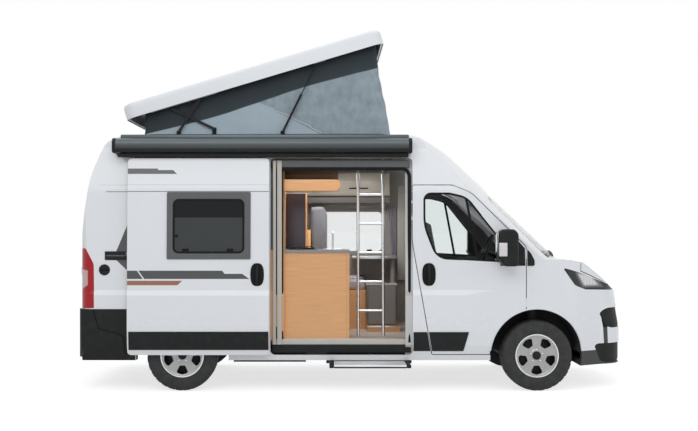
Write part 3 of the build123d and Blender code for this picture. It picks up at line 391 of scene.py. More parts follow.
DOOR_FOILS = (
    ("graphite", quad(2.106, 2.159, -2.21, -2.21, -1.920, -1.905)),
    ("graphite", quad(2.106, 2.144, -1.925, -1.925, -1.771, -1.733)),
    ("graphite", quad(1.092, 1.172, -2.21, -2.21, -2.114, -2.056)),
    ("graphite", [(-2.042, 1.092), (-2.100, 1.172), (-1.292, 1.172), (-1.270, 1.142), (-1.270, 1.092)]),
    ("graphite", quad(1.092, 1.142, -1.285, -1.285, -1.100, -1.029)),
    ("copper", quad(1.031, 1.075, -2.21, -2.21, -1.676, -1.724)),
    # Painted shade in the pressed groove, and painted shade in the crease above it
    ("seam", quad(1.932, 1.939, -2.21, -2.21, -0.84, -0.84)),
    ("crease", quad(1.998, 2.003, -2.21, -2.21, -0.84, -0.84)),
)
ROOF_FOILS = (("black", quad(2.5035, 2.6, -2.6, -2.6, 1.4, 1.4)),)
BUMPER_FOILS = (
    ("black", quad(0.2, 0.378, 2.0, 2.0, 2.72, 2.72)),
    ("black", quad(0.37, 0.60, 2.470, 2.4555, 2.503, 2.512)),
    ("black", quad(0.597, 0.715, 2.4555, 2.430, 2.53, 2.505)),
)
QUARTER_FOILS = (
    # Painted shade in the pressed groove, and painted shade in the crease above it
    ("seam", quad(1.932, 1.939, -2.43, -2.43, -2.2, -2.2)),
    ("crease", quad(1.998, 2.003, -2.50, -2.50, -2.2, -2.2)),
    ("graphite", [(-2.328, 1.2725), (-2.328, 1.356), (-2.205, 1.655), (-2.205, 1.168), (-2.218, 1.168)]),
)
PAINTS = {
    "white_body": {"foils": ROOF_FOILS},
    "white_bumper": {"foils": BUMPER_FOILS, "lined": False},
    "white_nose": {"lined": False},
    "white_slid_door": {"foils": DOOR_FOILS, "slid": SLID_OUT},
    "white_quarter": {"foils": QUARTER_FOILS},
    "white_cab_door": {"inner": (0.045, 0.047, 0.05)},
}


def white_shell(name, colours):
    """Gelcoat of the sleeping roof, a little duller than the paint."""
    f = body_paint(name, colours, lined=False)
    f.set("Coat Weight", 0.08)
    f.set("Roughness", 0.42 + 0.1 * f.noise(9.0, 5))
    return f


def black_plastic(name, colours):
    """Grained moulded plastic, paler where it is rubbed."""
    black = tuple(colours.black)
    f = Finish(name, black, 0.5, Specular_IOR_Level=0.2)
    grain = f.cells(520)
    wear = f.noise(14, 5)
    f.set("Base Color", f.mix(black, toned(black, 2.1), wear.ramp(0.45, 0.8)))
    f.set("Roughness", 0.42 + 0.22 * wear)
    f.bump(grain, 0.0004, 0.5)
    return f


def rubber(name, colours):
    f = Finish(name, (0.010, 0.010, 0.011), 0.7, Specular_IOR_Level=0.15)
    dust = f.noise(22, 6)
    f.set("Base Color", f.mix((0.008, 0.008, 0.009), (0.022, 0.021, 0.02), dust.ramp(0.5, 0.85)))
    f.set("Roughness", 0.6 + 0.25 * dust)
    f.bump(f.noise(600, 2), 0.0003, 0.4)
    return f


def tyre_rubber(name, colours):
    """Tyre rubber with dust on it."""
    f = Finish(name, (0.03, 0.03, 0.031), 0.75, Specular_IOR_Level=0.25)
    dust = f.noise(16, 6)
    f.set("Base Color", f.mix((0.030, 0.031, 0.033), (0.058, 0.057, 0.056), dust.ramp(0.35, 0.85)))
    f.set("Roughness", 0.62 + 0.22 * dust)
    f.bump(f.noise(500, 3), 0.0004, 0.5)
    return f


def clear_glass(name, colours):
    f = Finish(name, (0.84, 0.875, 0.87), 0.0, Transmission_Weight=1.0, IOR=1.1,
               Specular_IOR_Level=0.9)
    f.set("Roughness", 0.006 + 0.02 * f.noise(6, 4).ramp(0.55, 0.9))
    return f


def tinted_pane(name, colours):
    """Acrylic: dark on the slid door, nearly clear in the left wall."""
    f = Finish(name, (0.1, 0.1, 0.1), 0.05, Transmission_Weight=0.92, IOR=1.1,
               Specular_IOR_Level=0.8)
    left = f.y.above(0)
    blind = f.z.above(1.752) * (1 - left)
    dark = f.mix((0.055, 0.058, 0.062), (0.012, 0.013, 0.014), blind)
    f.set("Base Color", f.mix(dark, (0.86, 0.88, 0.88), left))
    f.set("Roughness", 0.03 + 0.03 * f.noise(5, 4))
    return f


def lamp_lens(name, colours):
    """Tail lamps red with a pale patch; headlamps smoky dark, with a paler bowl and a bright rim that are a
    painted reflection and a painted highlight of the reflector.
    """
    f = Finish(name, colours.red, 0.08, Specular_IOR_Level=0.3)
    rear = 1 - f.x.above(0)
    pale = f.patch([(-2.72, 0.955), (-2.72, 1.19), (-2.604, 1.17), (-2.604, 1.03)], 0.012)
    ribs = f.z.wave(0.014)
    red = f.mix(tuple(colours.red), toned(colours.red, 0.72), ribs)
    tail = f.mix(red, (0.60, 0.50, 0.51), pale * 0.85)
    # Painted reflection and painted highlight: a paler bowl and a bright rim stand for the headlamp's
    # shining reflector
    bowl = f.patch([(2.22, 1.00), (2.14, 1.155), (2.34, 1.14), (2.46, 1.00)], 0.035)
    rim = f.patch([(2.24, 1.02), (2.17, 1.135), (2.31, 1.12), (2.40, 1.02)], 0.03)
    head = f.mix((0.022, 0.023, 0.025), (0.16, 0.165, 0.17), bowl)
    head = f.mix(head, (0.72, 0.73, 0.74), rim * (0.78 + 0.22 * f.x.wave(0.034)))
    f.set("Base Color", f.mix(head, tail, rear))
    f.set("Roughness", 0.06 + 0.05 * f.noise(30))
    f.bump(ribs, 0.0012, 0.4)
    return f


def grey_frame(name, colours):
    f = Finish(name, (0.10, 0.105, 0.11), 0.45)
    grain = f.noise(380, 2)
    f.set("Base Color", f.mix((0.066, 0.070, 0.075), (0.098, 0.103, 0.108), f.noise(7, 4)))
    f.set("Roughness", 0.38 + 0.15 * grain)
    f.bump(grain, 0.0003, 0.4)
    return f


def cream_frame(name, colours):
    """Powder-coated fly-screen profiles."""
    f = Finish(name, (0.52, 0.50, 0.45), 0.45)
    f.set("Base Color", f.mix((0.53, 0.51, 0.46), (0.45, 0.43, 0.39), f.noise(5, 5, (1, 1, 0.2))))
    f.bump(f.noise(700, 2), 0.0002, 0.4)
    return f


def metal(name, colours, pale, dark, rough, scale=30, stretch=None, metallic=1.0):
    """Metal with streaks from a dark to a pale tone."""
    f = Finish(name, pale, rough, metallic)
    streak = f.noise(scale, 5, stretch)
    f.set("Base Color", f.mix(dark, pale, streak.ramp(0.3, 0.7)))
    f.set("Roughness", rough - 0.08 + 0.16 * streak)
    f.bump(streak, 0.0003, 0.25)
    return f


METALS = {
    "rail_steel": ((0.20, 0.205, 0.21), (0.10, 0.10, 0.105), 0.42, 40, (0.1, 1, 1), 0.8),
    "bare_aluminium": ((0.72, 0.73, 0.74), (0.55, 0.56, 0.57), 0.32, 60, (0.08, 1, 1), 1.0),
    "chassis": ((0.045, 0.043, 0.042), (0.018, 0.017, 0.017), 0.7, 12, None, 0.4),
    "engine_metal": ((0.22, 0.21, 0.20), (0.06, 0.058, 0.055), 0.55, 18, None, 0.7),
}
METAL_SETTINGS = ("pale", "dark", "rough", "scale", "stretch", "metallic")


def black_steel(name, colours):
    f = metal(name, colours, (0.012, 0.012, 0.013), (0.007, 0.007, 0.008), 0.5, 50, None, 0.0)
    f.set("Specular IOR Level", 0.2)
    return f


def alloy(name, colours):
    """Silver lacquer, with painted shade deep in the windows of the wheel."""
    pale = tuple(colours.alloy)
    f = Finish(name, pale, 0.3, 0.75, Coat_Weight=0.4)
    # Painted shade: the silver goes near black deep in the wheel's windows
    deep = 1 - abs(f.y).ramp(0.875, 0.945)
    dust = f.noise(20, 5)
    shade = f.mix(pale, toned(pale, 0.75), dust)
    f.set("Base Color", f.mix(shade, (0.05, 0.05, 0.05), deep))
    f.set("Roughness", 0.26 + 0.2 * dust)
    return f


def beech(name, colours, pale=1.0):
    """Beech: long streaks along the board with short dark flecks."""
    wood = tuple(min(1.0, pale * c) for c in colours.wood)
    f = Finish(name, wood, 0.42, Coat_Weight=0.15)
    streak = f.noise(11, 6, (0.35, 1.0, 9.0))
    fleck = f.noise(60, 2, (0.3, 1.0, 6.0)).ramp(0.6, 0.75)
    shade = f.mix(toned(wood, 1.05), toned(wood, 0.90), streak.ramp(0.3, 0.7))
    shade = f.mix(shade, toned(wood, 0.68), fleck * 0.22)
    f.set("Base Color", shade)
    f.set("Roughness", 0.36 + 0.16 * streak)
    f.bump(streak + 0.6 * fleck, 0.0005, 0.3)
    return f


def cabinet(name, colours):
    """Furniture bodies: beech low down, pale lockers overhead, taupe box, dark tall door."""
    f = beech(name, colours)
    shade = f.shader.inputs["Base Color"].links[0].from_socket
    locker = tuple(colours.locker)
    speckle = f.noise(240, 3)
    pale = f.mix(locker, toned(locker, 0.86), speckle)
    overhead = f.z.above(1.935) * f.y.above(0.55)
    shade = f.mix(shade, pale, overhead)
    box = f.y.above(-0.21) * (1 - f.y.above(0.075)) * f.x.above(0.132) * f.z.above(0.562)
    shade = f.mix(shade, (0.19, 0.175, 0.165), box)
    tall = (1 - f.x.above(-0.712)) * f.x.above(-1.12) * (1 - f.y.above(-0.40)) * f.z.above(1.37)
    shade = f.mix(shade, (0.085, 0.078, 0.095), tall)
    f.set("Base Color", shade)
    return f


def locker_front(name, colours):
    pale = tuple(colours.locker)
    f = Finish(name, pale, 0.4, Coat_Weight=0.1)
    speckle = f.noise(260, 3)
    f.set("Base Color", f.mix(pale, toned(pale, 0.87), speckle))
    f.set("Roughness", 0.34 + 0.12 * speckle)
    f.bump(speckle, 0.0002, 0.3)
    return f


def worktop(name, colours):
    top = tuple(colours.worktop)
    f = Finish(name, top, 0.38)
    speckle = f.noise(330, 4)
    shade = f.mix(toned(top, 0.75), toned(top, 1.3), speckle.ramp(0.35, 0.65))
    f.set("Base Color", shade)
    f.set("Roughness", 0.33 + 0.14 * speckle)
    f.bump(speckle, 0.0003, 0.3)
    return f


def floor_sheet(name, colours):
    """Pale floor covering above, dark sealed steel below."""
    f = Finish(name, (0.5, 0.47, 0.43), 0.5)
    plank = f.noise(5, 5, (0.3, 4.0, 1.0))
    pale = f.mix((0.52, 0.46, 0.40), (0.38, 0.33, 0.28), plank)
    below = f.mix((0.03, 0.03, 0.03), (0.06, 0.055, 0.05), f.noise(9, 5))
    top = f.z.above(0.488, 0.004)
    f.set("Base Color", f.mix(below, pale, top))
    f.set("Roughness", 0.75 - 0.3 * top)
    f.bump(plank, 0.0006, 0.4)
    return f


def awning_case(name, colours):
    """Anodised case with fine drawing lines along it, with painted shade on its lower half and darker
    painted shade underneath.
    """
    case = tuple(colours.case)
    f = Finish(name, case, 0.38, 0.55)
    lines = f.noise(30, 4, (0.05, 8, 8))
    # Painted shade underneath the case
    under = 1 - f.z.above(2.352, 0.006)
    shade = f.mix(case, toned(case, 0.82), lines)
    # Painted shade: the case darkens from its top down to its lower edge
    shade = f.mix(toned(case, 0.32), shade, f.z.ramp(2.352, 2.425, "SMOOTHSTEP"))
    f.set("Base Color", f.mix(shade, toned(case, 0.2), under))
    f.set("Roughness", 0.32 + 0.12 * lines)
    f.bump(lines, 0.0003, 0.3)
    return f


def weave(f, pale, dark, pitch):
    """A plain weave of that thread pitch: shade and height."""
    across = (f.x + 0.7 * f.y).wave(pitch)
    up = (f.z + 0.4 * f.y).wave(pitch)
    thread = across * up + (1 - across) * (1 - up)
    cloudy = f.noise(7, 5)
    shade = f.mix(dark, pale, thread * 0.45 + cloudy * 0.55)
    return shade, thread


def seat_cloth(name, colours):
    pale = toned(colours.seat, 1.25)
    dark = toned(colours.seat, 0.72)
    f = Finish(name, pale, 0.92, Sheen_Weight=0.3)
    shade, thread = weave(f, pale, dark, 0.0035)
    f.set("Base Color", shade)
    f.bump(thread, 0.0006, 0.5)
    return f


def mattress_cloth(name, colours):
    pale = tuple(colours.mattress)
    f = Finish(name, pale, 0.95, Sheen_Weight=0.3)
    shade, thread = weave(f, pale, toned(pale, 0.85), 0.004)
    quilt = (f.x.wave(0.16) * f.y.wave(0.16)).ramp(0.0, 0.35)
    # Painted shade in the hollows of the quilting: the cloth darkens where the bump dips
    f.set("Base Color", f.mix(toned(pale, 0.8), shade, quilt))
    f.bump(quilt * 4 + 0.3 * thread, 0.0012, 0.5)
    return f


def curtain_cloth(name, colours):
    pale = tuple(colours.curtain)
    f = Finish(name, pale, 0.95, Sheen_Weight=0.2)
    shade, thread = weave(f, pale, toned(pale, 0.82), 0.003)
    f.set("Base Color", shade)
    f.bump(thread, 0.0004, 0.4)
    return f


# Where the painted shadow of the roof, a dark band along the top of the tent, ends below the roof
ROOF_SHADOW_EDGE = 0.338
# A point on the slanting zip of the tent, and the way across it
ZIP_POINT, ZIP_ACROSS = (-0.877, 2.790), (0.469, 0.883)


def tent_cloth(name, colours):
    """Coated cotton: a painted shadow of the roof as a dark band under it, pale below, duller in front of
    the slanting zip.
    """
    light, dark = tuple(colours.tent_light), tuple(colours.tent_roof_shadow)
    f = Finish(name, light, 0.86, Sheen_Weight=0.05, Specular_IOR_Level=0.2)
    across, up = f.along()
    below = 1 - up
    cloudy = f.noise(3.2, 6)
    crumple = f.noise(13, 6, (1.0, 1.0, 0.75))
    thread = (across * 900).wave(6.283) * (up * 700).wave(6.283)
    shade = f.mix(light, toned(light, 0.84), cloudy)
    (x, z), (nx, nz) = ZIP_POINT, ZIP_ACROSS
    front = (f.x * nx + f.z * nz).above(x * nx + z * nz, 0.004)
    worn = f.mix(toned(light, 0.78), toned(light, 0.60), crumple.ramp(0.3, 0.7))
    shade = f.mix(shade, worn, front)
    # Painted shadow of the roof: a dark band along the top of the cloth, darkest right under the roof
    upper = 1 - (below + 0.03 * across.wave(1.95)).above(ROOF_SHADOW_EDGE, 0.012)
    painted_roof_shadow = f.mix(toned(dark, 0.45), toned(dark, 1.7), below.ramp(0.05, 0.34))
    f.set("Base Color", f.mix(shade, painted_roof_shadow, upper))
    f.set("Roughness", 0.82 + 0.12 * cloudy)
    f.bump(thread + 2 * cloudy + 5 * crumple, 0.0016, 0.5)
    return f


def zip_tape(name, colours):
    """Pale zip with its row of teeth."""
    f = Finish(name, (0.50, 0.53, 0.56), 0.5)
    teeth = f.x.wave(0.006)
    f.set("Base Color", f.mix((0.40, 0.43, 0.46), (0.66, 0.69, 0.72), teeth))
    f.bump(teeth, 0.0006, 0.5)
    return f


def bench_cloth(name, colours):
    pale = tuple(colours.bench)
    f = Finish(name, pale, 0.92, Sheen_Weight=0.2)
    shade, thread = weave(f, pale, toned(pale, 0.8), 0.0035)
    back = f.mix((0.20, 0.20, 0.215), (0.13, 0.13, 0.14), thread)
    f.set("Base Color", f.mix(shade, back, f.z.above(1.07, 0.01)))
    f.bump(thread, 0.0006, 0.5)
    return f


def dark_pane(name, colours):
    """Smoked acrylic in front of a drawn blind, which darkens its upper part."""
    f = Finish(name, (0.04, 0.045, 0.048), 0.12, Specular_IOR_Level=0.22)
    blind = f.z.above(1.684, 0.004)
    haze = f.noise(4, 5)
    grey = f.mix((0.040, 0.045, 0.048), (0.052, 0.057, 0.060), haze)
    f.set("Base Color", f.mix(grey, (0.005, 0.006, 0.007), blind))
    f.set("Roughness", 0.10 + 0.08 * haze)
    return f


def pale_lens(name, colours):
    f = Finish(name, (0.76, 0.72, 0.74), 0.12, Coat_Weight=0.4)
    ribs = f.z.wave(0.012)
    f.set("Base Color", f.mix((0.78, 0.74, 0.76), (0.60, 0.54, 0.57), ribs))
    f.bump(ribs, 0.0008, 0.4)
    return f


def dark_leaf(name, colours):
    """Dark laminate of the wash room door."""
    f = Finish(name, (0.034, 0.027, 0.043), 0.4)
    grain = f.noise(60, 4, (1, 1, 0.1))
    f.set("Base Color", f.mix((0.040, 0.032, 0.050), (0.028, 0.022, 0.036), grain))
    f.bump(grain, 0.0002, 0.3)
    return f


def taupe(name, colours):
    f = Finish(name, (0.19, 0.165, 0.155), 0.5)
    grain = f.noise(200, 3)
    f.set("Base Color", f.mix((0.20, 0.175, 0.165), (0.15, 0.13, 0.125), grain))
    f.bump(grain, 0.0002, 0.3)
    return f


def black_glass(name, colours):
    f = Finish(name, (0.01, 0.01, 0.011), 0.06, Coat_Weight=0.6)
    f.set("Roughness", 0.05 + 0.08 * f.noise(8, 5).ramp(0.5, 0.9))
    return f


def mirror_glass(name, colours):
    f = Finish(name, (0.75, 0.77, 0.78), 0.02, 1.0)
    f.set("Roughness", 0.015 + 0.03 * f.noise(10, 4).ramp(0.55, 0.9))
    return f


# Every finish by name: what makes it, with its settings
MAKERS = {
    maker.__name__: (maker, {})
    for maker in (
        white_shell, black_plastic, rubber, tyre_rubber, clear_glass, tinted_pane, lamp_lens, grey_frame,
        cream_frame, black_steel, alloy, cabinet, locker_front, worktop, floor_sheet, awning_case,
        seat_cloth, mattress_cloth, curtain_cloth, tent_cloth, taupe, black_glass, mirror_glass, zip_tape,
        bench_cloth, dark_pane, pale_lens, dark_leaf,
    )
}
MAKERS.update((name, (body_paint, settings)) for name, settings in PAINTS.items())
MAKERS.update((name, (metal, dict(zip(METAL_SETTINGS, row)))) for name, row in METALS.items())
# Lit and shaded copies of one beech: a painted lighter copy for the shelf front and the wash room stile, a
# painted shaded copy for the shelf back
for wood, pale in (("beech", 1.0), ("beech_pale", 1.25), ("beech_dark", 0.30)):
    MAKERS[wood] = (beech, {"pale": pale})


def deselect():
    if bpy.context.object and bpy.context.object.mode != "OBJECT":
        bpy.ops.object.mode_set(mode="OBJECT")
    bpy.ops.object.select_all(action="DESELECT")


def only(piece):
    deselect()
    piece.select_set(True)
    bpy.context.view_layer.objects.active = piece


def settled(piece, name):
    """Puts the place of a new piece into its mesh."""
    only(piece)
    bpy.ops.object.transform_apply(location=True, rotation=True, scale=True)
    piece.name = name
    piece.data.name = name
    return piece


def modified(piece, kind, **settings):
    only(piece)
    modifier = piece.modifiers.new(kind.lower(), kind)
    for key, value in settings.items():
        setattr(modifier, key, value)
    bpy.ops.object.modifier_apply(modifier=modifier.name)
    return piece


def smoothed(piece, degrees):
    only(piece)
    bpy.ops.object.shade_smooth_by_angle(angle=math.radians(degrees))
    return piece


def rounded(piece, radius, segments=2):
    if radius:
        modified(piece, "BEVEL", width=radius, segments=segments, limit_method="ANGLE")
    return smoothed(piece, 40)


def edited(piece, *steps):
    """Runs edit-mode steps on the whole piece."""
    only(piece)
    bpy.ops.object.mode_set(mode="EDIT")
    bpy.ops.mesh.select_all(action="SELECT")
    for step in steps:
        step()
    bpy.ops.object.mode_set(mode="OBJECT")
    return piece


def made_outward():
    bpy.ops.mesh.remove_doubles(threshold=0.00002)
    bpy.ops.mesh.normals_make_consistent(inside=False)


def solid_copy(node, name):
    """A merged copy of a solid."""
    piece = bpy.data.objects.new(name, NODES[node].data.copy())
    bpy.context.scene.collection.objects.link(piece)
    only(piece)
    bpy.ops.mesh.customdata_custom_splitnormals_clear()
    return edited(piece, made_outward)


def board(name, low, high, radius=0.003):
    """A block between two corners with rounded edges."""
    deselect()
    middle = [(a + b) / 2 for a, b in zip(low, high)]
    bpy.ops.mesh.primitive_cube_add(size=1, location=middle)
    piece = bpy.context.object
    piece.scale = [b - a for a, b in zip(low, high)]
    return rounded(settled(piece, name), radius)


def plate(name, points, axis, low, high, radius=0.002):
    """A flat outline given thickness along an axis: 0 is x, 1 is y, 2 is z."""
    deselect()
    bpy.ops.mesh.primitive_circle_add(vertices=len(points), fill_type="NGON")
    piece = bpy.context.object
    for vertex, point in zip(piece.data.vertices, points):
        place = list(point)
        place.insert(axis, low)
        vertex.co = place
    push = [0, 0, 0]
    push[axis] = high - low

    def thicken():
        bpy.ops.mesh.extrude_region_move(TRANSFORM_OT_translate={"value": push})
        bpy.ops.mesh.select_all(action="SELECT")
        made_outward()

    edited(piece, thicken)
    piece.name = piece.data.name = name
    return rounded(piece, radius)


def tube(name, points, radius, closed=False, sides=4, smooth=True):
    """A rod along points."""
    deselect()
    curve = bpy.data.curves.new(name, "CURVE")
    curve.dimensions = "3D"
    curve.bevel_depth = radius
    curve.bevel_resolution = sides
    curve.use_fill_caps = True
    line = curve.splines.new("NURBS" if smooth else "POLY")
    line.points.add(len(points) - 1)
    for knot, point in zip(line.points, points):
        knot.co = (*point, 1)
    line.use_cyclic_u = closed
    if smooth:
        line.order_u = 3
        line.use_endpoint_u = not closed
    piece = bpy.data.objects.new(name, curve)
    bpy.context.scene.collection.objects.link(piece)
    only(piece)
    bpy.ops.object.convert(target="MESH")
    piece = bpy.context.object
    piece.name = piece.data.name = name
    return smoothed(piece, 50)


def turned(name, centre, profile, steps=48, axis=(0, 1, 0)):
    """A profile of (offset along the axis, radius) points, closed, spun round an axle."""
    deselect()
    bpy.ops.mesh.primitive_circle_add(vertices=len(profile), fill_type="NOTHING")
    piece = bpy.context.object
    along = Vector(axis)
    out = Vector((0, 0, 1)) if abs(along.z) < 0.5 else Vector((1, 0, 0))
    for vertex, (offset, radius) in zip(piece.data.vertices, profile):
        vertex.co = Vector(centre) + along * offset + out * radius

    def spin():
        bpy.ops.mesh.spin(steps=steps, angle=2 * math.pi, center=centre, axis=axis)
        bpy.ops.mesh.select_all(action="SELECT")
        made_outward()

    edited(piece, spin)
    piece.name = piece.data.name = name
    return smoothed(piece, 35)


def on_skin(name, outline, side, thick, slid=0.0, lift=0.0006, step=0.035, radius=0.002):
    """A thin moulding of convex (x, z) outline, laid on the body side."""
    deselect()
    xs, zs = zip(*outline)
    middle = Vector(((max(xs) + min(xs)) / 2, 0, (max(zs) + min(zs)) / 2))
    wide, tall = max(xs) - min(xs), max(zs) - min(zs)
    bpy.ops.mesh.primitive_grid_add(
        x_subdivisions=max(2, round(wide / step)), y_subdivisions=max(2, round(tall / step)),
        size=1, location=middle, rotation=(math.pi / 2, 0, 0),
    )
    piece = bpy.context.object
    piece.scale = (wide * 1.02, tall * 1.02, 1)
    settled(piece, name)

    def trim():
        for (x0, z0), (x1, z1) in zip(outline, outline[1:] + outline[:1]):
            normal = Vector((z1 - z0, 0, x0 - x1)).normalized()
            if normal.dot(Vector((x0, 0, z0)) - middle) < 0:
                normal = -normal
            bpy.ops.mesh.select_all(action="SELECT")
            bpy.ops.mesh.bisect(plane_co=(x0, 0, z0), plane_no=normal, clear_outer=True)
        bpy.ops.mesh.select_all(action="SELECT")
        bpy.ops.mesh.remove_doubles(threshold=0.0005)
        bpy.ops.mesh.normals_make_consistent(inside=False)

    edited(piece, trim)
    for vertex in piece.data.vertices:
        vertex.co.y = side * (skin_y(vertex.co.x, vertex.co.z) + slid + lift)
    if sum(face.normal.y for face in piece.data.polygons) * side < 0:
        edited(piece, bpy.ops.mesh.flip_normals)
    modified(piece, "SOLIDIFY", thickness=thick, offset=1.0)
    return rounded(piece, radius, 1)


def joined(name, pieces):
    deselect()
    for piece in pieces:
        piece.select_set(True)
    bpy.context.view_layer.objects.active = pieces[0]
    if len(pieces) > 1:
        bpy.ops.object.join()
    pieces[0].name = pieces[0].data.name = name
    return pieces[0]


def dressed(piece, finish_name, body="van_body", slot=None):
    """Gives a finished piece its material and the body that it rides on; slot is not used."""
    piece.data.materials.clear()
    piece.data.materials.append(finish(finish_name))
    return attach(piece, body)


def fit_boards(rows):
    """Boards from rows: name, low corner, high corner, rounding, finish, slot if it isn't the usual one."""
    for name, low, high, radius, finish_name, *slot in rows:
        dressed(board(name, low, high, radius), finish_name, "van_body", *slot)


def coat(finish_name, *nodes):
    """Gives CAD nodes a finish."""
    for node in nodes:
        slots = NODES[node].material_slots
        for place in slots:
            place.material = finish(finish_name)
        if not slots:
            NODES[node].data.materials.append(finish(finish_name))


class CAMPER_OT_coat_solids(bpy.types.Operator):
    """Give every solid of the van its finish"""

    bl_idname = "camper.coat_solids"
    bl_label = "Coat the solids"

    def execute(self, context):
        for finish_name, nodes in COATS.items():
            coat(finish_name, *nodes)
        bare = set(NODES) - {node for nodes in COATS.values() for node in nodes}
        if bare:
            raise RuntimeError(f"no finish for {sorted(bare)}")
        return {"FINISHED"}


COATS = {
    "white_body": ("roof_panel", "left_wall", "rear_door_right", "rear_door_left"),
    "white_nose": ("front_body", "bonnet"),
    "white_bumper": ("front_bumper",),
    "white_slid_door": ("side_door",),
    "white_quarter": ("right_wall",),
    "white_cab_door": ("front_door_right", "front_door_left"),
    "white_shell": ("pop_top",),
    "black_plastic": ("black_trim", "cab_fittings", "wheel_arch_liners", "mirror_right", "mirror_left"),
    "clear_glass": (
        "windscreen", "front_glass_right", "front_glass_left", "rear_glass_right", "rear_glass_left",
    ),
    "tinted_pane": ("window_panes",),
    "lamp_lens": ("lamps",),
    "grey_frame": ("window_frames",),
    "rail_steel": ("door_rails",),
    "black_steel": ("rear_arms", "cross_arms", "strut_cylinders", "strut_rods"),
    "bare_aluminium": ("ladder", "step"),
    "chassis": ("axles", "underfloor", "knuckle_right", "knuckle_left"),
    "engine_metal": ("engine",),
    "alloy": tuple("rim_" + wheel for wheel in WHEELS),
    "tyre_rubber": tuple("tyre_" + wheel for wheel in WHEELS),
    "cabinet": ("cabinets",),
    "worktop": ("worktops",),
    "floor_sheet": ("floor_pan",),
    "awning_case": ("awning",),
    "bench_cloth": ("bench_cushions",),
    "seat_cloth": ("front_seats",),
    "mattress_cloth": ("mattress",),
    "curtain_cloth": ("curtain",),
    "tent_cloth": ("tent_fabric",),
}


# The centre that the sleeping roof turns about, and its raised angle
PIVOT_X, PIVOT_Z, TILT = -2.752, 2.546, math.radians(16.7)


def tipped(x, z):
    """Where a place on the closed sleeping roof stands when the roof is up."""
    u, v = x - PIVOT_X, z - PIVOT_Z
    return (
        PIVOT_X + u * math.cos(TILT) - v * math.sin(TILT),
        PIVOT_Z + u * math.sin(TILT) + v * math.cos(TILT),
    )


def corner_path(rows, arc=6):
    """Points round a closed outline of (u, v, corner radius) rows."""
    points = []
    count = len(rows)
    for i, (u, v, radius) in enumerate(rows):
        here = Vector((u, v))
        back = (Vector(rows[i - 1][:2]) - here).normalized()
        on = (Vector(rows[(i + 1) % count][:2]) - here).normalized()
        half = back.angle(on) / 2
        if radius < 1e-6 or half > 1.55:
            points.append(here)
            continue
        cut = radius / math.tan(half)
        centre = here + (back + on).normalized() * (radius / math.sin(half))
        first, last = here + back * cut - centre, here + on * cut - centre
        turn = first.angle_signed(last)
        for k in range(arc + 1):
            a = -turn * k / arc
            c, s = math.cos(a), math.sin(a)
            points.append(centre + Vector((first.x * c - first.y * s, first.x * s + first.y * c)))
    return points


def moved_out(points, distance):
    """The same closed outline, moved outwards."""
    count = len(points)
    area = sum(points[i - 1].cross(points[i]) for i in range(count))
    way = 1 if area > 0 else -1
    grown = []
    for i, point in enumerate(points):
        run = (points[(i + 1) % count] - points[i - 1]).normalized()
        grown.append(point + Vector((run.y, -run.x)) * way * distance)
    return grown


def band(name, outer, inner, thick, away):
    """A ribbon between two closed loops of as many points, given thickness."""
    loops = []
    for points in (outer, inner):
        deselect()
        bpy.ops.mesh.primitive_circle_add(vertices=len(points), fill_type="NOTHING")
        loop = bpy.context.object
        for vertex, point in zip(loop.data.vertices, points):
            vertex.co = point
        loops.append(settled(loop, name))
    piece = joined(name, loops)
    edited(piece, bpy.ops.mesh.bridge_edge_loops, bpy.ops.mesh.normals_make_consistent)
    if sum(face.normal.dot(Vector(away)) * face.area for face in piece.data.polygons) < 0:
        edited(piece, bpy.ops.mesh.flip_normals)
    modified(piece, "SOLIDIFY", thickness=thick, offset=1.0)
    return rounded(piece, 0.25 * thick, 1)


def ring_on(name, rows, grow, shrink, place, thick, away):
    """A gasket along a rounded outline: place puts (u, v) on the surface."""
    path = corner_path(rows)
    loops = [[place(p.x, p.y) for p in moved_out(path, d)] for d in (grow, -shrink)]
    return band(name, *loops, thick, away)


# Outlines of the glass: along or across, up, corner radius
FRONT_WINDOW = (
    (0.6585, 1.924, 0.07), (0.6585, 1.6, 0.5), (0.7815, 1.285, 0.16), (1.5945, 1.24, 0.03),
    (1.0785, 1.884, 0.2), (0.9085, 1.924, 0.12),
)
DIVIDER = quad(1.232, 1.893, 1.1795, 1.0535, 1.0785, 1.2045)
MIRROR_SAIL = [(1.40, 1.215), (1.40, 1.545), (1.50, 1.540), (1.641, 1.385), (1.645, 1.215)]
PILLAR_SAIL = [(1.664, 1.214), (1.664, 1.375), (1.70, 1.335), (1.733, 1.27), (1.736, 1.225), (1.72, 1.214)]
SCREEN = (
    (-0.86, -0.262, 0.06), (-0.74, 0.56, 0.09), (0, 0.605, 2.0), (0.74, 0.56, 0.09),
    (0.86, -0.262, 0.06), (0, -0.408, 2.6),
)
REAR_WINDOW = box_rows(0.13, 0.69, 1.29, 1.85, 0.06)
GLASS_INSET = 0.009
# Camper windows of the left wall: ends along, foot and head
CAMPER_WINDOWS = {
    "left_front": (-0.470, 0.390, 1.275, 1.800),
    "left_rear": (-2.130, -1.430, 1.290, 1.800),
}


def screen_place(across, up, lift=-GLASS_INSET):
    """A place on the windscreen: across the van and up the slope."""
    out = lift - SCREEN_R + math.sqrt(SCREEN_R**2 - across**2)
    return Vector((SCREEN_X - OUT_Z * up + OUT_X * out, across, SCREEN_Z + OUT_X * up + OUT_Z * out))


TENT_FOOT_Z = 2.5003
TENT_HALF = 0.772
TENT_FOOT = (-2.105, 0.350)
TENT_HEAD = (tipped(-2.060, 2.6254), tipped(0.350, 2.6254))


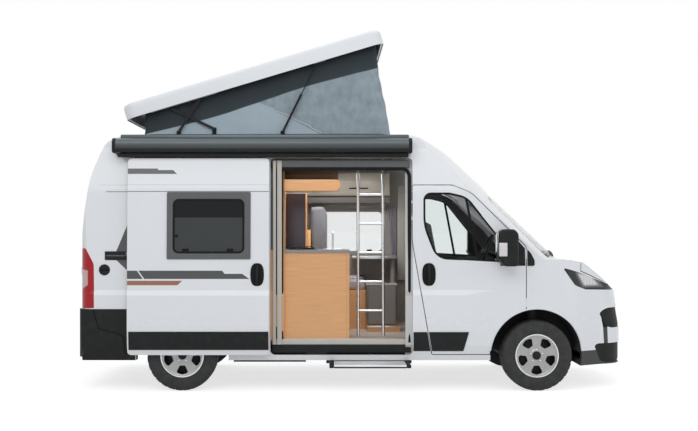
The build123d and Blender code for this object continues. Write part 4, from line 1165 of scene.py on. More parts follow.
def tent_ring(count):
    """Even steps round the tent's foot: run, share along the van, across, inward x and y."""
    front, half = TENT_FOOT[1] - TENT_FOOT[0], TENT_HALF
    rows = [(0, 0, 0), (0, -half, 0.06), (front, -half, 0.06), (front, half, 0.06), (0, half, 0.06)]
    path = corner_path(rows, 8)
    path.append(path[0])
    runs = [(b - a).length for a, b in zip(path, path[1:])]
    total, steps, gone, i = sum(runs), [], 0.0, 0
    for k in range(count + 1):
        target = total * k / count
        while i < len(runs) - 1 and gone + runs[i] < target:
            gone += runs[i]
            i += 1
        point = path[i].lerp(path[i + 1], (target - gone) / runs[i])
        run = (path[i + 1] - path[i]).normalized()
        steps.append((target, point.x / front, point.y, -run.y, run.x))
    return steps


def tent_point(step, up, fold):
    """Where the cloth lies at a share of its height, drawn in by slack folds, and that height."""
    run, along, y, nx, ny = step
    (x0, z0), (x1, z1) = TENT_HEAD
    foot_x = TENT_FOOT[0] + (TENT_FOOT[1] - TENT_FOOT[0]) * along
    head_x, height = x0 + (x1 - x0) * along, z0 + (z1 - z0) * along - TENT_FOOT_Z
    slack = math.sin(math.pi * up) ** 0.8 * min(1.0, 0.35 + height)
    sway = 0.5 + 0.5 * math.sin(9.0 * run + 5.0 * up * height)
    ripple = 0.5 + 0.5 * math.sin(23.0 * run - 7.0 * up + 1.7 * math.sin(6.0 * run))
    crease = 0.5 + 0.5 * math.sin(31.0 * up * height + 3.0 * math.sin(4.0 * run))
    draw = fold * slack * (0.7 * sway + 0.5 * ripple + 0.35 * crease)
    x = foot_x + (head_x - foot_x) * up + nx * draw
    return Vector((x, y + ny * draw, TENT_FOOT_Z + height * up)), height


TENT_STEPS, TENT_ROWS = 320, 30


def tent_walls(fold):
    """Cloth walls: a grid bent round the roof."""
    deselect()
    bpy.ops.mesh.primitive_grid_add(x_subdivisions=TENT_STEPS, y_subdivisions=TENT_ROWS, size=2)
    tent = bpy.context.object
    ring = tent_ring(TENT_STEPS)
    places = []
    for vertex in tent.data.vertices:
        step = ring[round((vertex.co.x + 1) / 2 * TENT_STEPS)]
        up = (vertex.co.y + 1) / 2
        vertex.co, height = tent_point(step, up, fold)
        places.append((step[0], 1 - (1 - up) * height))
    layer = tent.data.uv_layers.active.data
    for loop in tent.data.loops:
        layer[loop.index].uv = places[loop.vertex_index]
    edited(tent, lambda: bpy.ops.mesh.remove_doubles(threshold=0.0002))
    edited(tent, bpy.ops.mesh.normals_make_consistent)
    if sum(face.normal.y * face.center.y for face in tent.data.polygons) < 0:
        edited(tent, bpy.ops.mesh.flip_normals)
    modified(tent, "SOLIDIFY", thickness=0.0012, offset=-1.0)
    tent.name = tent.data.name = "roof_tent"
    only(tent)
    bpy.ops.object.shade_smooth()
    return tent


class CAMPER_OT_raise_tent(bpy.types.Operator):
    """Sew the cloth walls of the sleeping roof, with their zips and edge strips"""

    bl_idname = "camper.raise_tent"
    bl_label = "Raise the roof tent"

    def execute(self, context):
        fold = context.scene.camper_sizes.fold
        tent = dressed(tent_walls(fold), "tent_cloth")
        zips = dressed(tent_zips(fold), "zip_tape")
        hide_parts("tent_fabric")
        for piece in (tent, zips):
            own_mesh(piece)
        foot = [(TENT_FOOT[0] + (TENT_FOOT[1] - TENT_FOOT[0]) * s[1], s[2] * 1.006, 2.506)
                for s in tent_ring(60)[:-1]]
        dressed(tube("tent_foot_rail", foot, 0.006, True), "black_plastic")
        path = []
        for p in corner_path(box_rows(-2.25, 0.391, -0.832, 0.832, 0.11)):
            x, z = tipped(p.x, 2.5065)
            path.append((x, p.y, z))
        dressed(tube("roof_rim_seal", path, 0.004, True, 2, False), "rubber", "pop_top")
        return {"FINISHED"}


# The zip's head and foot: share along and share up
ZIP_ENDS = ((0.51, 0.43), (0.72, 0.03))


def tent_zips(fold):
    """Zip tapes on both sides, lying on the cloth."""
    ring = tent_ring(TENT_STEPS)
    tapes = []
    for side, hand in SIDE_NAMES.items():
        flank = [step for step in ring if step[2] * side > TENT_HALF - 0.001]
        path = []
        for t in (i / 24 for i in range(25)):
            along, up = (head + (foot - head) * t for head, foot in zip(*ZIP_ENDS))
            step = min(flank, key=lambda s: abs(s[1] - along))
            place = tent_point(step, up, fold)[0]
            path.append((place.x, place.y + side * 0.001, place.z))
        tapes.append(tube("zip_" + hand, path, 0.0045))
    return joined("tent_zips", tapes)


CARCASS_R = 0.3363
TYRE_PROFILE = (
    (-0.078, 0.2062), (-0.0925, 0.2085), (-0.1025, 0.226), (-0.1062, 0.262), (-0.1058, 0.290),
    (-0.101, 0.317), (-0.094, 0.3295), (-0.084, 0.335),
    (-0.052, CARCASS_R), (-0.046, CARCASS_R), (-0.017, CARCASS_R), (-0.011, CARCASS_R),
)
TREAD_FOOT_R, TYRE_STEPS = 0.325, 168
RIBS = ((-0.085, -0.051), (-0.047, -0.016), (-0.012, 0.012), (0.016, 0.047), (0.051, 0.085))


def tyre(name, centre, tread):
    """A tyre turned from its section, with tread blocks raised on the ribs."""
    wall = list(TYRE_PROFILE)
    outside = wall + [(-a, r) for a, r in reversed(wall)]
    inside = [(0.078, 0.2068), (0.088, 0.24), (0.086, 0.30), (-0.086, 0.30), (-0.088, 0.24)]
    piece = turned(name, centre, outside + inside, TYRE_STEPS)
    only(piece)
    bpy.ops.object.mode_set(mode="EDIT")
    bpy.ops.mesh.select_mode(type="FACE")
    bpy.ops.mesh.select_all(action="DESELECT")
    bpy.ops.object.mode_set(mode="OBJECT")
    middle = Vector(centre)
    for face in piece.data.polygons:
        spot = face.center - middle
        reach = math.hypot(spot.x, spot.z)
        if reach < TREAD_FOOT_R or face.normal.dot(Vector((spot.x, 0, spot.z))) < 0.2:
            continue
        turn = int((math.atan2(spot.z, spot.x) / (2 * math.pi) % 1.0) * TYRE_STEPS)
        for k, (low, high) in enumerate(RIBS):
            if low < spot.y < high:
                face.select = k == 2 or (turn + 2 * k) % 6 != 0
    bpy.ops.object.mode_set(mode="EDIT")
    bpy.ops.mesh.extrude_region_shrink_fatten(TRANSFORM_OT_shrink_fatten={"value": tread})
    bpy.ops.object.mode_set(mode="OBJECT")
    return smoothed(piece, 30)


class CAMPER_OT_fit_wheels(bpy.types.Operator):
    """Turn the tyres with their tread, and bolt the wheels on"""

    bl_idname = "camper.fit_wheels"
    bl_label = "Fit the wheels"

    def execute(self, context):
        tread = context.scene.camper_sizes.tread
        for wheel, (x, y) in WHEELS.items():
            body = "wheel_" + wheel
            piece = tyre("tread_" + wheel, (x, y, HUB_Z), tread)
            dressed(piece, "tyre_rubber", body)
            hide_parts("tyre_" + wheel)
            side = LEFT if y > 0 else RIGHT
            rim = turned_copy("rim_" + wheel, "spokes_" + wheel, (x, y, HUB_Z), RIM_TURN)
            dressed(rim, "alloy", body)
            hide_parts("rim_" + wheel)
            for part, profile, steps, finish_name, *slot in WHEEL_PARTS:
                turn = turned(f"{part}_{wheel}", (x, y, HUB_Z), [(side * a, r) for a, r in profile], steps)
                dressed(turn, finish_name, body, *slot)
            dressed(wheel_bolts("bolts_" + wheel, x, y, side), "bare_aluminium", body, "alloy")
        return {"FINISHED"}


RIM_TURN = math.radians(36)
DISC_PROFILE = ((-0.010, 0.060), (-0.010, 0.140), (-0.030, 0.192), (-0.040, 0.192), (-0.040, 0.060))


def turned_copy(node, name, centre, angle):
    """A merged copy of a solid, turned about a cross-wise axle."""
    piece = solid_copy(node, name)
    middle, c, s = Vector(centre), math.cos(angle), math.sin(angle)
    for vertex in piece.data.vertices:
        way = vertex.co - middle
        vertex.co = middle + Vector((way.x * c - way.z * s, way.y, way.x * s + way.z * c))
    return smoothed(piece, 35)


BOLT_COUNT, BOLT_RING, BOLT_OUT = 5, 0.060, 0.062
BOLT_PROFILE = ((0.0, 0.0005), (0.0, 0.0105), (0.010, 0.0105), (0.013, 0.0075), (0.013, 0.0005))


def wheel_bolts(name, x, y, side):
    """Five hexagon bolt heads in a ring."""
    bolts = []
    profile = [(side * a, r) for a, r in BOLT_PROFILE]
    for k in range(BOLT_COUNT):
        a = math.radians(90 + 360 / BOLT_COUNT * k)
        centre = (x + BOLT_RING * math.cos(a), y + side * BOLT_OUT, HUB_Z + BOLT_RING * math.sin(a))
        bolts.append(turned(f"{name}_{k}", centre, profile, 6))
    return joined(name, bolts)


# Turned wheel parts by offset outwards and radius
CAP_PROFILE = (
    (0.066, 0.0008), (0.066, 0.040), (0.070, 0.042), (0.0745, 0.040), (0.0775, 0.034), (0.0765, 0.030),
    (0.0785, 0.026), (0.0785, 0.0008),
)
LIP_PROFILE = ((0.0925, 0.1995), (0.0945, 0.2005), (0.0945, 0.2105), (0.0925, 0.2115))
# Name, profile, steps round, finish, slot if it isn't the usual one
WHEEL_PARTS = (
    ("disc", DISC_PROFILE, 64, "chassis", "engine_metal"),
    ("cap", CAP_PROFILE, 40, "black_plastic"),
    ("lip", LIP_PROFILE, 72, "bare_aluminium", "alloy"),
)


def oval(x, z, wide, tall, power=2.6, count=20):
    """A rounded upright outline about a place on the body side."""
    points = []
    for k in range(count):
        a = -2 * math.pi * k / count
        c, s = math.cos(a), math.sin(a)
        u = math.copysign(abs(c) ** (2 / power), c)
        v = math.copysign(abs(s) ** (2 / power), s)
        points.append((x + wide / 2 * u, z + tall / 2 * v))
    return points


# Side mouldings: name, body, outline, sides, how far the panel stands out
MOULDINGS = (
    ("front_door", "front_door_{}", quad(0.388, 0.574, 0.738, 0.7055, 1.094, 1.042), (RIGHT, LEFT), 0),
    ("pillar", "van_body", quad(0.388, 0.574, 0.557, 0.557, 0.690, 0.7225), (RIGHT, LEFT), 0),
    ("slid_door", "van_body", quad(0.408, 0.585, -2.195, -2.195, -0.846, -0.846), (RIGHT,), SLID_OUT),
    ("quarter", "van_body", quad(0.296, 0.797, -2.665, -2.665, -2.150, -2.150), (RIGHT, LEFT), 0),
    ("left_wall", "van_body", quad(0.388, 0.574, -1.190, -1.190, 0.548, 0.548), (LEFT,), 0),
)


class CAMPER_OT_fit_mouldings(bpy.types.Operator):
    """Lay the black side mouldings, door handles, fuel cap, rail end and arch lips on the body"""

    bl_idname = "camper.fit_mouldings"
    bl_label = "Fit mouldings and handles"

    def execute(self, context):
        thick = context.scene.camper_sizes.moulding
        for name, body, outline, sides, slid in MOULDINGS:
            for side in sides:
                hand = SIDE_NAMES[side]
                piece = on_skin(f"moulding_{name}_{hand}", outline, side, thick, slid)
                dressed(piece, "black_plastic", body.format(hand))
        door_handle("handle_slid_door", -0.955, 1.134, RIGHT, "van_body", SLID_OUT)
        cap = on_skin("fuel_cap", oval(-2.441, 1.177, 0.108, 0.108, 2), RIGHT, 0.006)
        dressed(cap, "black_plastic")
        grip = board("fuel_cap_grip", (-2.478, -1.027, 1.168), (-2.404, -1.012, 1.186), 0.004)
        dressed(grip, "rubber")
        ends = quad(1.272, 1.356, -2.437, -2.437, -2.229, -2.229)
        dressed(on_skin("rail_end_plate", ends, RIGHT, 0.007), "black_plastic")
        groove = quad(1.308, 1.320, -2.425, -2.425, -2.24, -2.24)
        dressed(on_skin("rail_end_groove", groove, RIGHT, 0.009), "grey_frame", slot="black_plastic")
        for side, hand in SIDE_NAMES.items():
            door_handle("handle_front_" + hand, 0.707, 1.132, side, "front_door_" + hand)
            for end, x in (("front", FRONT_AXLE_X), ("rear", REAR_AXLE_X)):
                dressed(arch_lip(f"arch_lip_{end}_{hand}", x, side), "white_nose")
        return {"FINISHED"}


ARCH_LIP_R, ARCH_LIP_THICK = 0.4585, 0.0085


def arch_lip(name, x, side):
    """Rolled edge of a wheel arch, laid on the body side."""
    path = []
    for k in range(37):
        a = math.radians(6 + 168 * k / 36)
        u, v = x + ARCH_LIP_R * math.cos(a), HUB_Z + ARCH_LIP_R * math.sin(a)
        path.append((u, side * (skin_y(u, v) - 0.003), v))
    return tube(name, path, ARCH_LIP_THICK, sides=3)


# A door handle's grip: out from the skin, and up
GRIP_PATH = (
    (0.002, -0.088), (0.016, -0.075), (0.027, -0.045), (0.027, 0.045), (0.016, 0.075), (0.002, 0.088),
)


def door_handle(name, x, z, side, body, slid=0.0):
    """A dark cup with an upright grip."""
    cup = on_skin(name + "_cup", oval(x, z, 0.132, 0.222), side, 0.006, slid)
    dressed(cup, "rubber", body)
    y = skin_y(0, z) + slid
    path = [(x, side * (y + out), z + up) for out, up in GRIP_PATH]
    dressed(tube(name + "_grip", path, 0.014), "black_plastic", body)


class CAMPER_OT_glaze_windows(bpy.types.Operator):
    """Edge the glass with gaskets, a dark print, dividers, sails, hinges and catches"""

    bl_idname = "camper.glaze_windows"
    bl_label = "Glaze the windows"

    def execute(self, context):
        frit = ring_on(
            "screen_print", SCREEN, -0.002, 0.05, lambda u, v: screen_place(u, v, 0.0006 - GLASS_INSET),
            0.0012, (1, 0, 1),
        )
        dressed(frit, "rubber")
        for side, hand in SIDE_NAMES.items():
            door, out = "front_door_" + hand, (0, side, 0)

            def on_door(u, v, side=side):
                return (u, side * (skin_y(u, v) - 0.005), v)

            def on_rear(u, v, side=side):
                return (rear_x(v) + 0.004, side * u, v)

            seal = ring_on("door_glass_seal_" + hand, FRONT_WINDOW, 0.004, 0.016, on_door, 0.0065, out)
            dressed(seal, "rubber", door)
            dressed(on_skin("door_glass_bar_" + hand, DIVIDER, side, 0.007, lift=-0.0085), "rubber", door)
            sail = on_skin("mirror_sail_" + hand, MIRROR_SAIL, side, 0.008, lift=-0.0055)
            dressed(sail, "black_plastic", door)
            dressed(on_skin("pillar_sail_" + hand, PILLAR_SAIL, side, 0.007), "black_plastic")
            rear = ring_on("rear_glass_seal_" + hand, REAR_WINDOW, 0.006, 0.02, on_rear, 0.006, (-1, 0, 0))
            dressed(rear, "rubber", "rear_door_" + hand)
        for name, window in CAMPER_WINDOWS.items():
            trim_window(name, *window)
        frame_slid_window()
        return {"FINISHED"}


SLID_FRAME = box_rows(-1.826, -1.019, 1.282, 1.930, 0.012)
SLID_OPENING = box_rows(-1.763, -1.083, 1.344, 1.858, 0.05)
SLID_CATCHES = ((-1.645, 1.372), (-1.215, 1.372), (-1.748, 1.505))


def frame_slid_window():
    """Square frame with a rounded opening, gasket, smoked pane and catches of the slid door's window."""

    def raised(lift):
        return lambda u, v: (u, -(skin_y(u, v) + SLID_OUT + lift), v)

    on_panel = raised(0.0003)
    loops = [[on_panel(p.x, p.y) for p in corner_path(rows)] for rows in (SLID_FRAME, SLID_OPENING)]
    dressed(band("slid_window_frame", *loops, 0.0132, (0, -1, 0)), "grey_frame")
    seal = ring_on("slid_window_gasket", SLID_OPENING, 0.006, 0.013, raised(0.0125), 0.0025, (0, -1, 0))
    dressed(seal, "rubber")
    pane = on_skin("slid_window_pane", corner_path(SLID_OPENING), RIGHT, 0.003, SLID_OUT, lift=0.0050)
    dressed(pane, "dark_pane")
    for k, (x, z) in enumerate(SLID_CATCHES):
        y = -skin_y(x, z) - SLID_OUT
        low, high = (x - 0.032, y - 0.0125, z - 0.013), (x + 0.032, y - 0.006, z + 0.013)
        dressed(board(f"slid_window_catch_{k}", low, high, 0.005), "rubber")


def trim_window(name, low, high, foot, head):
    """Gasket, top hinge strip and catches of one camper window in the left wall."""

    def on_side(u, v):
        return (u, skin_y(u, v) - 0.001, v)

    rows = box_rows(low, high, foot, head, 0.07)
    dressed(ring_on(f"window_seal_{name}", rows, 0.007, 0.004, on_side, 0.009, (0, 1, 0)), "rubber")
    y, z = skin_y(low, head) + 0.008, head - 0.006
    hinge = tube(f"window_hinge_{name}", [(low + 0.03, y, z), (high - 0.03, y, z)], 0.007, smooth=False)
    dressed(hinge, "bare_aluminium", slot="grey_frame")
    for k, part in enumerate((0.22, 0.78)):
        x = low + (high - low) * part
        y = skin_y(x, foot) - 0.045
        corners = (x - 0.03, y - 0.012, foot + 0.03), (x + 0.03, y + 0.012, foot + 0.055)
        dressed(board(f"window_catch_{name}_{k}", *corners, 0.006), "black_plastic")


# Nose pieces: node, piece, finish, body
NOSE = (
    ("front_body", "nose_body", "white_nose", "van_body"),
    ("bonnet", "nose_bonnet", "white_nose", "bonnet"),
    ("front_bumper", "nose_bumper", "white_bumper", "van_body"),
    ("black_trim", "nose_trim", "black_plastic", "van_body"),
    ("lamps", "nose_lamps", "lamp_lens", "van_body"),
)
NOSE_TIP = CAD_BOX[1][0]
NOSE_CUTS_X = [2.02 + 0.045 * k for k in range(15)]
NOSE_CUTS_Z = [0.62 + 0.055 * k for k in range(12)]


BONNET_DROP, CORNER_PUSH = 0.115, 0.6


def nose_place(x, y, z):
    """Where a place on the plain nose goes: the bonnet falls away, the bumper corners come forward."""
    crown = 0.72 + 0.28 * share(abs(y), 0.3, 0.65)
    drop = BONNET_DROP * crown * share(x, 2.0, 2.55) ** 1.5 * share(z, 0.95, 1.15)
    push = CORNER_PUSH * max(0.0, NOSE_TIP - x) * share(x, 2.42, 2.60) * (1 - share(z, 0.62, 1.0))
    return (x + push, y, z - drop)


def nose_piece(node, name):
    """A merged copy of a nose solid, cut finely and drawn to the photographed shape."""
    piece = solid_copy(node, name)

    def cut():
        for normal, cuts in (((1, 0, 0), NOSE_CUTS_X), ((0, 0, 1), NOSE_CUTS_Z)):
            for at in cuts:
                bpy.ops.mesh.select_all(action="SELECT")
                bpy.ops.mesh.bisect(plane_co=[at * n for n in normal], plane_no=normal)

    edited(piece, cut)
    for vertex in piece.data.vertices:
        vertex.co = nose_place(*vertex.co)
    return smoothed(piece, 30)


class CAMPER_OT_shape_nose(bpy.types.Operator):
    """Draw the bonnet, fenders, bumper and lamps to the photographed nose"""

    bl_idname = "camper.shape_nose"
    bl_label = "Shape the nose"

    def execute(self, context):
        for node, name, finish_name, body in NOSE:
            piece = dressed(nose_piece(node, name), finish_name, body)
            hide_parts(node)
        return {"FINISHED"}


# Wipers by pivot and tip: across the screen and up it
WIPERS = (((0.12, -0.40), (0.80, -0.22)), ((-0.62, -0.32), (0.06, -0.35)))
BLADE_UP, ARM_REACH = 0.012, 0.55


class CAMPER_OT_fit_front(bpy.types.Operator):
    """Lay the wipers on the windscreen"""

    bl_idname = "camper.fit_front"
    bl_label = "Fit the wipers"

    def execute(self, context):
        for k, ((u0, v0), (u1, v1)) in enumerate(WIPERS):
            blade, arm = [], []
            for t in (i / 8 for i in range(9)):
                reach = ARM_REACH * t
                blade.append(screen_place(u0 + (u1 - u0) * t, v0 + (v1 - v0) * t + BLADE_UP, 0.0))
                up = v0 + (v1 - v0) * reach + BLADE_UP * t
                arm.append(screen_place(u0 + (u1 - u0) * reach, up, 0.008 - 0.006 * t))
            wiper = joined(f"wiper_{k}", [tube(f"blade_{k}", blade, 0.005), tube(f"arm_{k}", arm, 0.006)])
            dressed(wiper, "black_plastic")
        return {"FINISHED"}


# Fly-screen profiles, from and to along the van
SCREEN_BARS = ((-0.808, -0.779), (-0.768, -0.722))
DOORWAY_BOARDS = (
    ("screen_cloth_edge", (-0.782, -0.968, 0.501), (-0.764, -0.935, 2.238), 0.002, "rubber"),
    ("screen_end", (-0.724, -0.965, 0.501), (-0.708, -0.93, 2.238), 0.002, "rubber"),
    ("screen_header", (-0.815, -0.985, 2.172), (0.525, -0.93, 2.245), 0.008, "grey_frame"),
    ("threshold", (-0.815, -0.974, 0.368), (0.535, -0.9597, 0.448), 0.004, "black_plastic"),
    ("floor_edge", (-0.815, -0.9725, 0.4485), (0.535, -0.9597, 0.4995), 0.003, "cream_frame", "floor_steel"),
    ("threshold_strip", (-0.70, -0.968, 0.5003), (0.50, -0.918, 0.5043), 0.0015, "bare_aluminium"),
    ("cab_sill_right", (0.545, -0.915, 0.352), (1.295, -0.900, 0.4495), 0.004, "black_plastic"),
    ("cab_sill_left", (0.545, 0.900, 0.352), (1.295, 0.915, 0.4495), 0.004, "black_plastic"),
)
SEAL_Y, SEAL_TURN = -0.972, 0.075


class CAMPER_OT_fit_doorway(bpy.types.Operator):
    """Line the doorways: seal, fly-screen profiles, header, threshold and cab sills"""

    bl_idname = "camper.fit_doorway"
    bl_label = "Fit the doorways"

    def execute(self, context):
        for k, (low, high) in enumerate(SCREEN_BARS):
            post = board(f"screen_post_{k}", (low, -0.985, 0.5005), (high, -0.928, 2.24), 0.006)
            face = board(f"screen_face_{k}", (low, -0.990, 0.449), (high, -0.9745, 2.24), 0.005)
            dressed(joined(f"screen_profile_{k}", [post, face]), "cream_frame")
        fit_boards(DOORWAY_BOARDS)
        corner = [(0.445 + SEAL_TURN * math.sin(a), SEAL_Y, 2.085 + SEAL_TURN * math.cos(a))
                  for a in (math.radians(15 * k) for k in range(7))]
        path = [(-0.72, SEAL_Y, 2.16), *corner, (0.52, SEAL_Y, 1.2), (0.52, SEAL_Y, 0.47)]
        dressed(tube("doorway_seal", path, 0.017, smooth=False), "rubber")
        return {"FINISHED"}


AWNING_CAP = (
    (-1.1125, 2.308, 0.036), (-0.944, 2.308, 0.01), (-0.900, 2.452, 0.01), (-1.1125, 2.452, 0.056),
)
CAP_ENDS = ((-2.3515, -2.3175), (0.5055, 0.5395))
AWNING_BRACKET = [(-1.03, 2.3095), (-0.955, 2.275), (-0.945, 2.275), (-0.938, 2.3095)]
BRACKET_X = (-2.3215, -0.9, 0.4195)
AWNING_BOARDS = (
    ("awning_lead", (-2.3155, -1.1135, 2.313), (0.5035, -1.09, 2.349), 0.008, "black_plastic"),
    ("awning_lip", (-2.3155, -1.1118, 2.3525), (0.5035, -1.10, 2.3585), 0.002, "awning_case"),
    # A black adapter rail under the awning, which also stands in as a dark strip for the shade under the
    # awning
    ("awning_rail", (-2.28, -1.070, 2.270), (0.505, -0.946, 2.3095), 0.004, "black_plastic"),
    ("awning_roof_rail", (-2.3015, -0.940, 2.446), (0.5195, -0.880, 2.4965), 0.012, "awning_case"),
)


class CAMPER_OT_fit_awning(bpy.types.Operator):
    """Close the awning case with end caps, its lead rail and brackets"""

    bl_idname = "camper.fit_awning"
    bl_label = "Fit the awning"

    def execute(self, context):
        for k, (x0, x1) in enumerate(CAP_ENDS):
            dressed(plate(f"awning_cap_{k}", corner_path(AWNING_CAP), 0, x0, x1, 0.004), "black_plastic")
        fit_boards(AWNING_BOARDS)
        for k, x in enumerate(BRACKET_X):
            dressed(plate(f"awning_bracket_{k}", AWNING_BRACKET, 0, x, x + 0.05, 0.003), "black_plastic")
        return {"FINISHED"}


# Locker doors and their handles, from and to along the van
LOCKER_DOORS = ((-1.145, -0.800), (-0.795, -0.446), (-0.441, 0.060), (0.066, 0.413))
HANDLES = ((-0.99, -0.90), (-0.60, -0.51), (-0.035, 0.050), (0.076, 0.170))
HANDLE_Z = 2.022
SHELF = ((-0.712, 1.948, 0.005), (-0.165, 1.948, 0.05), (-0.143, 2.057, 0.045), (-0.712, 2.057, 0.005))
FURNITURE_BOARDS = (
    ("locker_rail", (-1.145, 0.66, 1.858), (0.413, 0.682, 1.9415), 0.004, "taupe"),
    ("blind_cassette", (-0.48, 0.915, 1.800), (0.378, 0.952, 1.856), 0.008, "cream_frame"),
    ("wash_room_door", (-0.7035, -0.443, 0.5005), (-0.505, -0.4203, 1.935), 0.004, "dark_leaf"),
    # The stile is beech painted lighter, as painted light
    ("wash_room_stile", (-0.5048, -0.446, 0.5005), (-0.488, -0.418, 1.935), 0.004, "beech_pale"),
    ("bench_end_panel", (-0.502, 0.062, 0.5005), (-0.4605, 0.90, 1.56), 0.006, "beech"),
    ("pillar_trim_left", (0.518, 0.893, 0.98), (0.655, 0.925, 2.06), 0.012, "cream_frame"),
    # The shelf back is beech in painted shade
    ("shelf_back", (-0.7035, -0.668, 2.0583), (-0.170, -0.645, 2.165), 0.003, "beech_dark"),
    ("table_edge", (-0.008, 0.3262, 1.2415), (0.478, 0.3304, 1.2685), 0.0015, "bare_aluminium"),
    ("podium_edge", (0.134, -0.2545, 0.545), (0.478, -0.2475, 0.5625), 0.0015, "bare_aluminium"),
    ("hob_glass", (-0.66, -0.86, 1.3674), (-0.38, -0.57, 1.3725), 0.002, "black_glass"),
)
POST_X, POST_Y = -0.0785, -0.9035
BURNERS = ((-0.575, -0.79), (-0.465, -0.64))
BURNER_PROFILE = ((0, 0.022), (0, 0.046), (0.008, 0.046), (0.012, 0.040), (0.012, 0.022))
# A pan bar: out from the burner's middle, and height
PAN_BAR = ((-0.075, 1.374), (-0.07, 1.395), (0.07, 1.395), (0.075, 1.374))
SINK_PROFILE = (
    (0.0006, 0.145), (0.004, 0.142), (0.004, 0.132), (0.0012, 0.128), (0.0008, 0.02), (0.0003, 0.02),
)
TAP_X = -0.225
TAP_PATH = (
    (-0.565, 1.367), (-0.565, 1.50), (-0.575, 1.535), (-0.62, 1.545), (-0.68, 1.535), (-0.69, 1.515),
)
UPWARD = (0, 0, 1)


class CAMPER_OT_fit_furniture(bpy.types.Operator):
    """Hang the locker doors and add edges, handles, hob and sink to the furniture"""

    bl_idname = "camper.fit_furniture"
    bl_label = "Fit the furniture"

    def execute(self, context):
        for k, ((x0, x1), (h0, h1)) in enumerate(zip(LOCKER_DOORS, HANDLES)):
            door = board(f"locker_door_{k}", (x0, 0.586, 1.952), (x1, 0.5995, 2.186), 0.004)
            dressed(door, "locker_front")
            ends = ((h0, 0.588), (h0 + 0.006, 0.572), (h1 - 0.006, 0.572), (h1, 0.588))
            pull = [(x, y, HANDLE_Z) for x, y in ends]
            dressed(tube(f"locker_handle_{k}", pull, 0.006), "black_plastic")
        fit_boards(FURNITURE_BOARDS)
        post = [(POST_X, POST_Y, 0.5005), (POST_X, POST_Y, 1.3365)]
        dressed(tube("kitchen_post", post, 0.019, smooth=False), "beech")
        # The shelf front is beech painted lighter, as painted light
        dressed(plate("shelf_front", corner_path(SHELF), 1, -0.932, -0.9155, 0.003), "beech_pale")
        for k, (x, y) in enumerate(BURNERS):
            ring = turned(f"burner_{k}", (x, y, 1.3725), BURNER_PROFILE, 28, UPWARD)
            dressed(ring, "black_steel")
            bars = []
            for c, s in ((0.707, 0.707), (0.707, -0.707)):
                bars.append(tube(f"pan_bar_{k}", [(x + a * c, y + a * s, z) for a, z in PAN_BAR], 0.004))
            dressed(joined(f"pan_support_{k}", bars), "black_steel")
        dressed(turned("sink", (TAP_X, -0.715, 1.3674), SINK_PROFILE, 48, UPWARD), "bare_aluminium")
        dressed(tube("tap", [(TAP_X, y, z) for y, z in TAP_PATH], 0.009), "bare_aluminium")
        top = [(p.x, p.y, 0.987) for p in corner_path(box_rows(0.136, 0.448, -0.198, 0.068, 0.02))]
        dressed(tube("box_piping", top, 0.005, True, 3, False), "mattress_cloth", slot="grey_cloth")
        return {"FINISHED"}


# Padded pieces: node, piece, cloth, voxel, how far a point may swell, how much it shrinks first
SOFT = (
    ("bench_cushions", "bench_pads", "bench_cloth", 0.016, 0.020, 0.012),
    ("mattress", "mattress_pad", "mattress_cloth", 0.024, 0.024, 0.014),
    ("front_seats", "cab_seats", "seat_cloth", 0.016, 0.018, 0.010),
)
SEAT_PIPING = (
    (-0.272, 0.094), (0.136, 0.094), (0.141, 0.10), (0.141, 0.872), (0.136, 0.878), (-0.272, 0.878),
    (-0.277, 0.872), (-0.277, 0.10),
)
PIPING_Z = 1.035


class CAMPER_OT_make_cushions(bpy.types.Operator):
    """Fill the cushions, the mattress and the cab seats as swollen cloth"""

    bl_idname = "camper.make_cushions"
    bl_label = "Make the cushions"

    def execute(self, context):
        for node, name, cloth, voxel, cap, smaller in SOFT:
            pad = dressed(cushion(node, name, voxel, cap, smaller), cloth)
            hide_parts(node)
        rows = [(x, y, PIPING_Z) for x, y in SEAT_PIPING]
        line = tube("seat_piping", rows, context.scene.camper_sizes.piping, True)
        dressed(line, "rubber", slot="grey_cloth")
        return {"FINISHED"}


def cushion(node, name, voxel, cap, smaller):
    """A soft copy of a plain solid: remeshed, shrunk a little, blown up as cloth, kept in its space."""
    piece = solid_copy(node, name)
    modified(piece, "REMESH", mode="VOXEL", voxel_size=voxel, use_smooth_shade=True)
    modified(piece, "SMOOTH", factor=0.5, iterations=4)
    modified(piece, "DISPLACE", strength=-smaller, mid_level=0.0)
    swell(piece, cap)
    modified(piece, "SUBSURF", levels=1, render_levels=1)
    low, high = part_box(node)
    for vertex in piece.data.vertices:
        vertex.co = [min(max(c, a), b) for c, a, b in zip(vertex.co, low, high)]
    only(piece)
    bpy.ops.object.shade_smooth()
    piece.name = piece.data.name = name
    return piece


def swell(piece, cap):
    """Cloth under pressure for twenty frames, each point held to a short way."""
    home = [vertex.co.copy() for vertex in piece.data.vertices]
    only(piece)
    cloth = piece.modifiers.new("cloth", "CLOTH")
    cloth.settings.use_pressure = True
    cloth.settings.uniform_pressure_force = 4
    cloth.settings.effector_weights.gravity = 0
    cloth.settings.quality = 4
    scene = bpy.context.scene
    for step in range(1, 21):
        scene.frame_set(step)
    bpy.ops.object.modifier_apply(modifier=cloth.name)
    scene.frame_set(1)
    for vertex, start in zip(piece.data.vertices, home):
        way = vertex.co - start
        if way.length > cap:
            vertex.co = start + way * (cap / way.length)


CURTAIN_EDGE_X, CURTAIN_WIDE, CURTAIN_Y = 0.508, 0.116, 0.9305
CURTAIN_FOOT_Z, CURTAIN_DROP, PLEATS = 1.086, 0.744, 5


